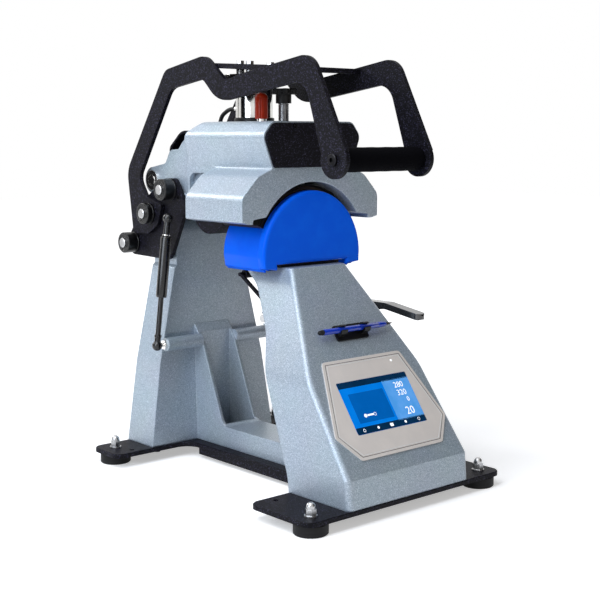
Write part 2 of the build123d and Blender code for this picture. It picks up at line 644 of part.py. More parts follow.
def make_lower_platen():
    """Curved cap form on top of the console: bracket, core and silicone pad."""
    bracket = block(-BRACKET_HALF_WIDTH, BRACKET_HALF_WIDTH, -43, 30, CONSOLE_TOP, BRACKET_TOP)
    bracket = fillet(bracket.edges().filter_by(Axis.Z), 6)
    for x, y in PLATEN_SCREWS:
        bracket -= rod_z(BOLT_RADIUS, x, y, 300, 320)
    save("platen_bracket", bracket)

    core = arch_solid(CORE_RADIUS - FIT_GAP, BRACKET_TOP, -43.7, PAD_REAR - FIT_GAP)
    core -= arch_solid(CORE_RADIUS - 14, ARC_CENTRE_Z + 2, -30, PAD_REAR + 5)
    for x, y in PLATEN_SCREWS:
        core -= rod_z(BOLT_RADIUS, x, y, 300, ARC_CENTRE_Z - 1)
    save("lower_platen_core", core)
    platen_screws = []
    for x, y in PLATEN_SCREWS:
        screw = rod_z(BOLT_RADIUS, x, y, CONSOLE_TOP - CONSOLE_WALL, ARC_CENTRE_Z - 1)
        screw += hexagon_z(10.0, x, y, CONSOLE_TOP - CONSOLE_WALL - 4, CONSOLE_TOP - CONSOLE_WALL)
        platen_screws.append(screw)
    save("platen_screws", platen_screws)

    flange = arch_solid(FLANGE_RADIUS, FLANGE_BOTTOM, *FLANGE_Y)
    front_edges = flange.faces().sort_by(Axis.Y)[0].edges()
    flange = fillet(front_edges, 5.0)
    pad = flange + arch_solid(PAD_RADIUS, PAD_BOTTOM, FLANGE_Y[1] - 1, PAD_REAR)
    pad -= arch_solid(CORE_RADIUS, PAD_BOTTOM - 5, FLANGE_Y[0] + PAD_FRONT_WALL, PAD_REAR + 5)
    pad -= block(-NOTCH_HALF_WIDTH, NOTCH_HALF_WIDTH, -60, 60, 290, 313)
    save("lower_platen_pad", pad)


def make_hold_down():
    """Bail that pulls the sweatband down behind the pad, with its lever."""
    x_left = -EAR_OUTER - 6.5
    save("hold_down_shaft", rod_x(HOLD_DOWN_RADIUS, HOLD_DOWN_PIVOT, x_left, LEVER_X[1]))
    nuts = []
    hole = rod_x(HOLD_DOWN_RADIUS, HOLD_DOWN_PIVOT, -200, 200)
    flats = 14.0
    nuts.append(hexagon_x(flats, HOLD_DOWN_PIVOT, x_left + 1, -EAR_OUTER - FIT_GAP) - hole)
    nuts.append(hexagon_x(flats, HOLD_DOWN_PIVOT, EAR_OUTER + FIT_GAP, EAR_OUTER + 7) - hole)
    save("hold_down_nuts", nuts)

    y, z = HOLD_DOWN_PIVOT
    tip_y, tip_z = LEVER_TIP
    hub_radius = 11.0
    hub = rod_x(hub_radius, HOLD_DOWN_PIVOT, *LEVER_X)
    bend_z = z + hub_radius + 1.0
    arm = along_x([
        (y, z - 7, 2), (y, z + hub_radius, 0), (LEVER_BEND_Y, bend_z, 30), (tip_y, tip_z, 3),
        (tip_y, tip_z - LEVER_THICKNESS, 3), (LEVER_BEND_Y, bend_z - LEVER_THICKNESS, 30),
    ], *LEVER_X)
    width = LEVER_X[1] - LEVER_X[0]
    length = 100.0
    place = Pos(sum(LEVER_X) / 2, tip_y + length / 2)
    paddle = extrude(Plane.XY.offset(200) * place * RectangleRounded(width, length, width / 2 - 0.1), 80)
    lever = hub + (arm & (paddle + block(*LEVER_X, -110, 0, 200, 280)))
    lever -= rod_x(HOLD_DOWN_RADIUS, HOLD_DOWN_PIVOT, 0, 200)
    save("hold_down_lever", lever)

    wire = 3.0
    length = math.hypot(BAIL_TIP[0] - y, BAIL_TIP[1] - z)
    angle = math.degrees(math.atan2(BAIL_TIP[1] - z, BAIL_TIP[0] - y))
    bail = rod_x(wire, BAIL_TIP, -BAIL_HALF_WIDTH - wire, BAIL_HALF_WIDTH + wire)
    for side in (-1, 1):
        x = side * BAIL_HALF_WIDTH
        bail += rod_x(HOLD_DOWN_RADIUS + 3.0, HOLD_DOWN_PIVOT, x - 6, x + 6)
        arm_place = Pos(x, y, z) * Rot(angle, 0, 0) * Pos(0, length / 2, 0)
        bail += arm_place * Rot(90, 0, 0) * Cylinder(wire, length)
    bail -= hole
    sleeve = rod_x(6.0, BAIL_TIP, -BAIL_HALF_WIDTH + 6, BAIL_HALF_WIDTH - 6) - rod_x(wire, BAIL_TIP, -99, 99)
    save("hold_down_bail", [bail, sleeve])


def arc_band(radii, y0, y1):
    """Part of a tube round the platen axis, between the heat platen's end angles."""
    low, high = HEAT_ANGLES
    ring = Pos(0, ARC_CENTRE_Z) * (Circle(radii[1]) - Circle(radii[0]))
    far = 300.0
    wedge = make_face(Polyline(
        (0, 0), (far * math.cos(math.radians(low)), far * math.sin(math.radians(low))), (0, far * 1.5),
        (far * math.cos(math.radians(high)), far * math.sin(math.radians(high))), close=True))
    sector = ring & (Pos(0, ARC_CENTRE_Z) * wedge)
    return extrude(Plane.XZ.offset(-y0) * sector, -(y1 - y0))


def make_heat_platen():
    """Heated arc with its heater, insulation, carrier and guide posts."""
    platen = arc_band(PLATEN_RADII, *HEAT_Y)
    save("heat_platen", platen)
    holes = rod_z(CARRIER_RADIUS + FIT_GAP, 0, SCREW_Y, 380, 430)
    for side in (-1, 1):
        holes += rod_z(POST_RADIUS + FIT_GAP, side * POST_X, SCREW_Y, 380, 430)
    save("heater_element", arc_band(HEATER_RADII, HEAT_Y[0] + 3, HEAT_Y[1] - 3) - holes)
    save("insulation_pad", arc_band(INSULATION_RADII, *HEAT_Y) - holes)
    drum = rod_y(PLATEN_RADII[1], 0, ARC_CENTRE_Z, -100, 100)
    carrier = rod_z(CARRIER_RADIUS, 0, SCREW_Y, 398, 424) - drum
    carrier += rod_z(CARRIER_HUB_RADIUS, 0, SCREW_Y, 420, CARRIER_TOP)
    carrier -= rod_z(SCREW_RADIUS + FIT_GAP, 0, SCREW_Y, SCREW_BOTTOM - 5, CARRIER_TOP + 1)
    posts = [rod_z(POST_RADIUS, side * POST_X, SCREW_Y, 390, POST_TOP) - drum for side in (-1, 1)]
    save("platen_carrier", [carrier] + posts)


def head_shell():
    """Outer form of the head casting, less the arch that holds the heat platen."""
    full = both_sides(HEAD_COVER_HALF + HUMP_HALF)
    front = along_y(full, HEAD_FRONT, HEAD_COVER_REAR)
    neck = along_y(both_sides(NECK_HALF + HUMP_HALF), HEAD_COVER_REAR - 1, NECK_REAR)
    side = along_x(HUMP_SIDE, -140, 140)
    return (front + neck) & side


def make_head():
    """Head casting and the pieces that are fixed to it."""
    casting = head_shell()
    arch = rod_y(ARCH_RADIUS, 0, ARCH_CENTRE_Z, HEAD_FRONT - 5, COVER_ARCH_REAR)
    flare = along_y(both_sides([(83.0, 350.0, 0), (107.0, 350.0, 0), (107.0, 376.0, 3), (83.0, 379.0, 0)]),
                    HEAD_FRONT - 5, COVER_ARCH_REAR)
    casting -= arch + flare
    wall = HEAD_WALL
    inside = [(60.0, 379.0, 4), (67.0, 443.0, 2), (83.5, 486.0, 10), (71.0, HEAD_TOP - wall, 10)]
    cavity = along_y(both_sides(inside), HEAD_FRONT - 5, NECK_REAR - wall)
    roof = [(HEAD_FRONT - 9, 360.0, 0), (HEAD_FRONT - 9, HEAD_TOP - wall, 0), (102.0, HEAD_TOP - wall, 8),
            (125.0, 487.0, 6), (HUMP_REAR - wall, 449.0, 0), (NECK_REAR - wall, 437.0, 0),
            (NECK_REAR - wall, 360.0, 0)]
    cavity &= along_x(roof, -140, 140)
    liner = rod_y(ARCH_RADIUS + wall, 0, ARCH_CENTRE_Z, HEAD_FRONT - 9, HEAD_COVER_REAR)
    cavity -= liner
    cavity -= block(-100, 100, HEAD_FRONT - 10, HEAD_FRONT + wall, 350, 447)
    nut_boss = rod_z(15.0, 0, SCREW_Y, 488, HEAD_TOP)
    bumper_boss = rod_z(9.0, *BUMPER_PLACE, 488, HEAD_TOP)
    magnet_boss = rod_z(12.0, 0, MAGNET_Y, 488, HEAD_TOP)
    cavity -= nut_boss + bumper_boss + magnet_boss
    casting -= cavity
    low_z, high_z = WINDOW_Z
    window = along_x([(WINDOW_Y[0], low_z, 2), (WINDOW_Y[1], low_z, 4), (WINDOW_Y[1], high_z, 14),
                      (WINDOW_Y[0], high_z, 4)], 55, 80)
    casting -= window + mirrored(window)
    cheek = along_x(CHEEK_SIDE, CHEEK_INNER, CHEEK_OUTER)
    cheek += rod_x(CHEEK_LOBE_RADIUS, HEAD_PIVOT, CHEEK_INNER, CHEEK_OUTER)
    pad_end = CRANK_X[0]
    cheek += rod_x(14.0, UPPER_STOP, CHEEK_OUTER - 1, pad_end)
    cheek += rod_x(8.0, CRANK_SCREWS[0], CHEEK_OUTER - 1, pad_end)
    cheek += rod_x(8.0, CRANK_SCREWS[1], CHEEK_OUTER - 1, pad_end)
    casting += cheek + mirrored(cheek)
    for side in (-1, 1):
        casting -= rod_x(PIVOT_SHAFT_RADIUS, HEAD_PIVOT, side * 40, side * 80)
        casting -= rod_x(PIN_RADIUS, UPPER_STOP, side * 40, side * 80)
        for place in CRANK_SCREWS:
            casting -= rod_x(2.5, place, side * 40, side * 80)
    casting -= rod_z(SCREW_RADIUS, 0, SCREW_Y, 480, HEAD_TOP + 5)
    casting -= rod_z(STUD_RADIUS, *BUMPER_PLACE, 480, HEAD_TOP + 5)
    casting -= rod_z(5.0, 0, MAGNET_Y, 480, HEAD_TOP + 5)
    casting -= rod_z(CARRIER_RADIUS + 2, 0, SCREW_Y, 405, 440)
    for x in (-POST_X, POST_X):
        casting -= rod_z(POST_RADIUS + FIT_GAP, x, SCREW_Y, 400, 440)
    plate_screws = [(-68.0, 449.0), (68.0, 449.0), (-34.0, 500.0), (34.0, 500.0)]
    shell = head_shell()
    for x, z in plate_screws:
        casting += rod_y(5.0, x, z, HEAD_FRONT, HEAD_FRONT + 14) & shell
    for x, z in plate_screws:
        casting -= rod_y(1.6, x, z, HEAD_FRONT - 2, HEAD_FRONT + 10)
    save("head_casting", casting)

    plate = [(71.0, 444.5, 3), (87.6, 486.5, 12), (72.5, 504.8, 12)]
    plate_front = HEAD_FRONT - 2.0
    end_plate = along_y(both_sides(plate), plate_front, HEAD_FRONT)
    screws = []
    for x, z in plate_screws:
        end_plate -= rod_y(1.6, x, z, -60, -40)
        screw = rod_y(1.6, x, z, plate_front, HEAD_FRONT + 10)
        screw += rod_y(3.2, x, z, plate_front - 1.8, plate_front)
        screw -= extrude(Plane.XZ.offset(-(plate_front - 1.9)) * Pos(x, z) * RegularPolygon(1.4, 6), -1.2)
        screws.append(screw)
    save("front_end_plate", end_plate)
    for place in CRANK_SCREWS:
        shank = rod_x(2.5, place, CHEEK_INNER, CRANK_X[1] - 1)
        screw = shank + rod_x(5.0, place, CRANK_X[1] - 3, CRANK_X[1] - 0.2)
        screw -= hexagon_x(4.0, place, CRANK_X[1] - 2, CRANK_X[1] + 1)
        screws.extend(pair(screw))
    save("head_screws", screws)

    sheet = 3.0
    guard = rod_x(GUARD_RADIUS, GUARD_CENTRE, -GUARD_HALF_WIDTH, GUARD_HALF_WIDTH)
    guard -= rod_x(GUARD_RADIUS - sheet, GUARD_CENTRE, sheet - GUARD_HALF_WIDTH, GUARD_HALF_WIDTH - sheet)
    guard &= block(-100, 100, 50, 200, 300, NECK_HALF[0][1])
    save("wiring_guard", guard)

    profile = [(HUMP_REAR, 455.0, 0), (HUMP_REAR, 489.0, 4), (160.0, 495.0, 25), (205.0, 495.0, 30),
               (236.0, 470.0, 10), (236.0, 456.0, 0)]
    inner = [(HUMP_REAR - 1, 452.0, 0), (HUMP_REAR - 1, 486.0, 4), (160.0, 492.0, 22), (203.5, 492.0, 27),
             (233.0, 468.5, 8), (233.0, 450.0, 0)]
    cover = along_x(profile, -40, 40) - along_x(inner, -50, 50)
    cover += block(-40, 40, HUMP_REAR, 236, 455, 458)
    cover += block(-CHEEK_INNER, CHEEK_INNER, 142, 200, 455, 458)
    cover -= rod_z(LEAD_RADIUS + 1.5, LEAD_ROUTE[-1][0], LEAD_ROUTE[-1][1], 470, 520)
    save("rear_cover", cover)

    shaft = rod_x(PIVOT_SHAFT_RADIUS, HEAD_PIVOT, -65.0, 65.0)
    washers = []
    bushes = []
    for side in (-1, 1):
        washer = rod_x(15.0, HEAD_PIVOT, side * CHEEK_OUTER, side * 64.5)
        washers.append(washer - rod_x(PIVOT_SHAFT_RADIUS, HEAD_PIVOT, -99, 99))
        bush = rod_x(BUSH_RADIUS, HEAD_PIVOT, side * LUG_INNER, side * 48)
        bush += rod_x(BUSH_FLANGE_RADIUS, HEAD_PIVOT, side * 48, side * (CHEEK_INNER - FIT_GAP))
        bushes.append(bush - rod_x(PIVOT_SHAFT_RADIUS, HEAD_PIVOT, -99, 99))
    save("pivot_shaft", [shaft] + washers)
    save("pivot_bushes", bushes)


def make_top_parts():
    """Electromagnet, lead and bumper on top of the head."""
    base = rod_z(MAGNET_RADIUS + 2, 0, MAGNET_Y, HEAD_TOP, MAGNET_BASE_TOP)
    base = chamfer(base.edges().sort_by(Axis.Z)[-1], 1)
    base -= rod_z(5.0, 0, MAGNET_Y, 480, 520)
    save("magnet_base_ring", base)
    magnet = rod_z(MAGNET_RADIUS, 0, MAGNET_Y, MAGNET_BASE_TOP, MAGNET_TOP)
    magnet = chamfer(magnet.edges().sort_by(Axis.Z)[-1], 1)
    magnet += rod_z(5.0, 0, MAGNET_Y, 490, MAGNET_BASE_TOP)
    outlet = rod_y(4.5, LEAD_ROUTE[0][0], LEAD_ROUTE[0][2], MAGNET_Y + 20, LEAD_ROUTE[0][1])
    save("magnet_body", magnet + outlet)

    line = FilletPolyline(*LEAD_ROUTE, radius=LEAD_BENDS)
    section = Plane(origin=line @ 0, z_dir=line % 0) * Circle(LEAD_RADIUS)
    save("magnet_lead", sweep(section, path=line))
    x, y = BUMPER_PLACE
    bumper = rod_z(BUMPER_RADIUS, x, y, *BUMPER_Z)
    bumper = fillet(bumper.edges().sort_by(Axis.Z)[-1], BUMPER_DOME)
    flutes = 8
    for index in range(flutes):
        turn = math.radians(index * 360 / flutes)
        reach = BUMPER_RADIUS + 0.9
        bumper -= rod_z(2.0, x + reach * math.cos(turn), y + reach * math.sin(turn), BUMPER_Z[0] - 1,
                        BUMPER_Z[1] - BUMPER_DOME)
    bumper -= rod_z(STUD_RADIUS, x, y, 500, BUMPER_STUD_TOP)
    save("bumper", bumper)
    stud = rod_z(STUD_RADIUS, x, y, 490, BUMPER_STUD_TOP)
    stud += rod_z(7.0, x, y, HEAD_TOP, BUMPER_Z[0])
    save("bumper_stud", stud)

    screw = rod_z(SCREW_RADIUS, 0, SCREW_Y, SCREW_BOTTOM, KNOB_STAR_Z[0])
    save("pressure_screw", screw)
    knob = rod_z(KNOB_HUB_RADIUS, 0, SCREW_Y, *KNOB_HUB_Z)
    star_low, star_high = KNOB_STAR_Z
    lobe_radius = 5.0
    lobe_reach = KNOB_STAR_RADIUS - lobe_radius
    lobes = 6
    star_face = Circle(lobe_reach)
    for index in range(lobes):
        turn = math.radians(index * 360 / lobes)
        star_face += Pos(lobe_reach * math.cos(turn), lobe_reach * math.sin(turn)) * Circle(lobe_radius)
    star_face = fillet(star_face.vertices(), 2.0)
    star = extrude(Pos(0, SCREW_Y, star_low) * star_face, star_high - star_low)
    star = chamfer(star.faces().sort_by(Axis.Z)[-1].edges(), 1.2)
    knob += star
    knob -= rod_z(SCREW_RADIUS, 0, SCREW_Y, 500, star_low)
    save("pressure_knob", knob)


def make_cranks():
    """Crank plates that carry the handle, with their pins, sleeves and screws."""
    plate = along_x(CRANK_SIDE, *CRANK_X)
    for place in (REAR_STOP, HANDLE_PIVOT, UPPER_STOP):
        plate -= rod_x(PIN_RADIUS, place, 50, 90)
    for place in CRANK_SCREWS:
        plate -= rod_x(2.5, place, 50, 90)
        plate -= rod_x(5.0, place, CRANK_X[1] - 3, 90)
    save("crank_plates", pair(plate))

    pins = []
    sleeves = []
    starts = {REAR_STOP: CRANK_X[0], HANDLE_PIVOT: CRANK_X[0], UPPER_STOP: CHEEK_INNER}
    for place, start in starts.items():
        pin = rod_x(PIN_RADIUS, place, start, PIN_END)
        pin = chamfer(pin.edges().sort_by(Axis.X)[-1], 1)
        sleeve_start = HANDLE_X[1] + FIT_GAP if place == HANDLE_PIVOT else CRANK_X[1]
        sleeve = rod_x(SLEEVE_RADIUS, place, sleeve_start, SLEEVE_END)
        sleeve = chamfer(sleeve.edges().sort_by(Axis.X)[-1], 1.5)
        sleeve -= rod_x(PIN_RADIUS, place, 50, 99)
        pins.extend(pair(pin))
        sleeves.extend(pair(sleeve))
    save("linkage_pins", pins)
    save("linkage_sleeves", sleeves)


def make_springs():
    """Gas springs between the tower bosses and the crank plates."""
    foot = Vector(*SPRING_FOOT)
    head = Vector(*SPRING_HEAD)
    line = (head - foot).normalized()
    length = (head - foot).length
    lower = Plane(origin=foot, x_dir=(1, 0, 0), z_dir=line)
    socket_height = 13.0

    def turned(radius, low, high):
        """Cylinder on the spring axis between two distances from the lower ball."""
        return lower * Pos(0, 0, (low + high) / 2) * Cylinder(radius, high - low)

    neck = rod_x(3.0, (foot.Y, foot.Z), 100, foot.X)
    stud = neck + Pos(foot) * Sphere(BALL_RADIUS)
    stud += rod_x(STUD_RADIUS, SPRING_BOSS, SPRING_BOSS_END - 15, SPRING_BOSS_END)
    stud += hexagon_x(13.0, SPRING_BOSS, SPRING_BOSS_END, SPRING_BOSS_END + 4)
    save("tower_ball_studs", pair(stud))

    rod = turned(SOCKET_RADIUS, -SOCKET_RADIUS, socket_height)
    rod &= Pos(foot) * Sphere(socket_height)
    rod += turned(6.0, socket_height - 3, socket_height + 7)
    rod -= Pos(foot) * Sphere(BALL_RADIUS + FIT_GAP)
    rod -= rod_x(4.6, (foot.Y, foot.Z), 90, foot.X)
    rod += turned(SPRING_ROD_RADIUS, socket_height, SPRING_ROD_LENGTH)
    cylinder = turned(CYLINDER_RADIUS, CYLINDER_FROM, CYLINDER_TO)
    cylinder = chamfer(cylinder.edges(), 1.2)
    cylinder -= turned(SPRING_ROD_RADIUS + FIT_GAP, CYLINDER_FROM - 1, CYLINDER_TO - 8)
    cylinder += turned(5.0, CYLINDER_TO - 1, length - socket_height + 2)
    cap = turned(SOCKET_RADIUS, length - socket_height, length + SOCKET_RADIUS)
    cap &= Pos(head) * Sphere(socket_height)
    cap -= Pos(head) * Sphere(BALL_RADIUS + FIT_GAP)
    cap -= rod_x(3.3, (head.Y, head.Z), 60, head.X)
    cylinder += cap
    top_stud = rod_x(3.0, (head.Y, head.Z), 76, head.X) + Pos(head) * Sphere(BALL_RADIUS)
    top_stud += hexagon_x(13.0, (head.Y, head.Z), CRANK_X[1] + STUD_GAP, 76.5)
    save("spring_rod_right", rod)
    save("spring_rod_left", mirrored(rod))
    save("spring_cylinder_right", [cylinder, top_stud])
    save("spring_cylinder_left", [mirrored(cylinder), mirrored(top_stud)])


def make_handle():
    """Two handle plates, the grip between them and the armature over the magnet."""
    plate = along_x(HANDLE_SIDE, *HANDLE_X) + rod_x(GRIP_LOBE_RADIUS, GRIP_CENTRE, *HANDLE_X)
    plate -= rod_x(PIN_RADIUS + FIT_GAP, HANDLE_PIVOT, 60, 90)
    plate -= rod_x(4.0, GRIP_CENTRE, 60, 90)
    save("handle_plates", pair(plate))

    y0, y1 = CROSS_PLATE_Y
    z0, z1 = CROSS_PLATE_TOP
    inner = HANDLE_X[0]
    thick = CROSS_PLATE_THICKNESS
    cross = along_x([(y0, z0 - thick, 1), (y0, z0, 1), (y1, z1, 1), (y1, z1 - thick, 1)], -inner, inner)
    for x, y in ARMATURE_BOLTS:
        cross -= rod_z(BOLT_RADIUS, x, y, 550, 620)
    save("handle_cross_plate", cross)

    save("grip_tube", rod_x(GRIP_TUBE_RADIUS, GRIP_CENTRE, -inner, inner) - rod_x(4.0, GRIP_CENTRE, -99, 99))
    sleeve = rod_x(GRIP_RADIUS, GRIP_CENTRE, -inner + FIT_GAP, inner - FIT_GAP)
    save("grip_sleeve", sleeve - rod_x(GRIP_TUBE_RADIUS, GRIP_CENTRE, -99, 99))
    head_end = HANDLE_X[1] + 4.0
    screw = rod_x(4.0, GRIP_CENTRE, 45, HANDLE_X[1]) + rod_x(8.0, GRIP_CENTRE, HANDLE_X[1], head_end)
    screw = chamfer(screw.edges().sort_by(Axis.X)[-1], 1)
    screw -= hexagon_x(6.0, GRIP_CENTRE, head_end - 3, head_end + 1)
    save("grip_screws", pair(screw))

    low, high = ARMATURE_Z
    disc = rod_z(ARMATURE_RADIUS, 0, ARMATURE_Y, low, high)
    disc = chamfer(disc.edges(), 0.8)
    spacers = []
    bolts = []
    for x, y in ARMATURE_BOLTS:
        disc -= rod_z(BOLT_RADIUS, x, y, high - 5, high + 5)
        top = z0 + (z1 - z0) * (y - y0) / (y1 - y0)
        spacer = rod_z(6.0, x, y, high, top - 3) - rod_z(BOLT_RADIUS, x, y, 550, 620)
        spacer -= cross
        spacers.append(spacer)
        bolt = rod_z(BOLT_RADIUS, x, y, high - 5, top + 1) + hexagon_z(10.0, x, y, top + 0.6, top + 5)
        bolts.append(bolt)
    save("armature_disc", disc)
    save("armature_bolts", bolts + spacers)


make_base()
make_tower()
make_console()
make_lower_platen()
make_hold_down()
make_heat_platen()
make_head()
make_top_parts()
make_cranks()
make_springs()
make_handle()
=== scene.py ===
"""Looks of a cap heat press: finishes, moulded soft parts, display graphics and a plain studio."""

import json
import logging
import math
from dataclasses import dataclass, field
from enum import Enum, IntEnum
from typing import Any, Callable

import bpy
from mathutils import Matrix, Vector

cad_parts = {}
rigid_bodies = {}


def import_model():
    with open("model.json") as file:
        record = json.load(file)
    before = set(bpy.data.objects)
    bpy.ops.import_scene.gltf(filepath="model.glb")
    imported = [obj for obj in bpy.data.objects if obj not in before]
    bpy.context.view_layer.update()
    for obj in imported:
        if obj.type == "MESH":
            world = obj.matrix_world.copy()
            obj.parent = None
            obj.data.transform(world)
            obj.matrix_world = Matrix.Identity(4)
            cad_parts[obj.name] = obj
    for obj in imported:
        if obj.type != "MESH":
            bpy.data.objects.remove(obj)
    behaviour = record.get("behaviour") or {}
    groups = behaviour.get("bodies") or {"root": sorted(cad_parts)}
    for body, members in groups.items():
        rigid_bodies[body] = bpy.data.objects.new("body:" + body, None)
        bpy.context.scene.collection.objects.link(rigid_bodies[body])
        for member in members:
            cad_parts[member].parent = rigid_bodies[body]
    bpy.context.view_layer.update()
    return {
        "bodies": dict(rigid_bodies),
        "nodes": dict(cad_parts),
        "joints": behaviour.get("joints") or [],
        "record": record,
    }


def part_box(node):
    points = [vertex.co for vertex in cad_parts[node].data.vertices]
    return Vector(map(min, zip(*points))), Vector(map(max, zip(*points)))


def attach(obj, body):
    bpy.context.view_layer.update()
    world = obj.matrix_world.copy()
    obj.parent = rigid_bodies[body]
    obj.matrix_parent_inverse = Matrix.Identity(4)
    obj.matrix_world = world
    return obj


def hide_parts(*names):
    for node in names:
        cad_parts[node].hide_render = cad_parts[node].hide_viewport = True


Point = tuple[float, float, float]
Flat = tuple[float, float]
Loop = list[Point]
Face = tuple[int, ...]
Skin = tuple[Loop, list[Face]]
Place = Callable[[float, float, float], Point]
Socket = bpy.types.NodeSocket
Tree = bpy.types.NodeTree

LOG = logging.getLogger("cap_press")
MM = 0.001
# Radius that closes a turned skin where it meets its axis
POLE_MM = 0.05
# Edges that turn by more than this stay sharp when a piece is shaded smooth
SHARP_DEGREES = 35.0
# Values that a noise texture mostly stays between
NOISE_SPAN: Flat = (0.3, 0.7)


def linear(hex_colour: str) -> tuple[float, float, float, float]:
    """Turn an sRGB hex colour into the linear values that shaders take.

    Args:
        hex_colour: Six hex digits after a number sign.

    Returns:
        Red, green, blue and an alpha of one.
    """
    values = []
    for start in (1, 3, 5):
        part = int(hex_colour[start:start + 2], 16) / 255
        values.append(part / 12.92 if part <= 0.04045 else ((part + 0.055) / 1.055) ** 2.4)
    return (*values, 1.0)


def add_node(tree: Tree, kind: str, settings: dict[str, Any] | None = None,
             links: dict[str | int, Socket] | None = None) -> bpy.types.Node:
    """Add one shader node.

    Args:
        tree: Node tree that gets the node.
        kind: Blender's name for the node type.
        settings: Values for its inputs, or for its own properties where no input has that name.
        links: Sockets that feed its inputs.

    Returns:
        The new node.
    """
    node = tree.nodes.new(kind)
    for name, value in (settings or {}).items():
        if name in node.inputs:
            node.inputs[name].default_value = value
        else:
            setattr(node, name, value)
    for name, socket in (links or {}).items():
        tree.links.new(socket, node.inputs[name])
    return node


def new_material(name: str) -> tuple[bpy.types.Material, Tree]:
    """Make an empty node material.

    Args:
        name: Name of the material.

    Returns:
        The material and its node tree.
    """
    material = bpy.data.materials.new(name)
    material.use_nodes = True
    material.node_tree.nodes.clear()
    return material, material.node_tree


def per_metre(size_mm: float) -> float:
    """Texture scale that gives a pattern this real size, in object space."""
    return 1.0 / (size_mm * MM)


def two_tone(tree: Tree, pattern: Socket, low: str, high: str, span: Flat) -> Socket:
    """Colour a pattern with two colours and a soft step between them.

    Args:
        tree: Node tree that gets the nodes.
        pattern: Texture output that chooses the colour.
        low: Hex colour where the pattern is at or under the start of the span.
        high: Hex colour where the pattern is at or over its end.
        span: Pattern values where the step begins and ends.

    Returns:
        Colour socket of the blend.
    """
    step = add_node(tree, "ShaderNodeMapRange", {"From Min": span[0], "From Max": span[1]}, {
        "Value": pattern})
    blend = add_node(tree, "ShaderNodeMixRGB", {"Color1": linear(low), "Color2": linear(high)}, {
        "Fac": step.outputs["Result"]})
    return blend.outputs["Color"]


def relief(tree: Tree, height: Socket, share: float, height_mm: float, edge_mm: float,
           samples: int = 6) -> Socket:
    """Raise a pattern on a surface whose edges look slightly rounded.

    Args:
        tree: Node tree that gets the nodes.
        height: Pattern that stands for the height.
        share: Share of the relief that shows, from 0 to 1.
        height_mm: Height of the pattern.
        edge_mm: Radius that the edges seem to have.
        samples: Rays that look for an edge.

    Returns:
        Normal of the surface.
    """
    rounded = add_node(tree, "ShaderNodeBevel", {"samples": samples, "Radius": edge_mm * MM})
    bump = add_node(tree, "ShaderNodeBump", {"Strength": share, "Distance": height_mm * MM}, {
        "Height": height, "Normal": rounded.outputs["Normal"]})
    return bump.outputs["Normal"]


def patchy(tree: Tree, pattern: Socket, low: float, high: float) -> Socket:
    """Let a value such as roughness follow a noise pattern.

    Args:
        tree: Node tree that gets the node.
        pattern: Noise that the value follows.
        low: Value where the noise is low.
        high: Value where the noise is high.

    Returns:
        Socket of the value.
    """
    span = add_node(tree, "ShaderNodeMapRange", {
        "From Min": NOISE_SPAN[0], "From Max": NOISE_SPAN[1], "To Min": low, "To Max": high}, {
        "Value": pattern})
    return span.outputs["Result"]


def seen_directly(tree: Tree) -> Socket:
    """Tell what is seen by the camera, in a reflection or through glass from what only lights.

    Args:
        tree: Node tree that gets the nodes.

    Returns:
        Socket that is one for such rays and zero for the others.
    """
    path = add_node(tree, "ShaderNodeLightPath")
    seen = path.outputs["Is Camera Ray"]
    for ray in ("Is Glossy Ray", "Is Transmission Ray"):
        either = add_node(tree, "ShaderNodeMath", {"operation": "MAXIMUM"}, {
            0: seen, 1: path.outputs[ray]})
        seen = either.outputs["Value"]
    return seen


class Lay(Enum):
    """Direction of the fine lines that machining leaves on metal."""

    PLAIN = (1.0, 1.0, 1.0)
    ROUND_Z = (1.0, 1.0, 12.0)
    ALONG_X = (0.08, 1.0, 1.0)


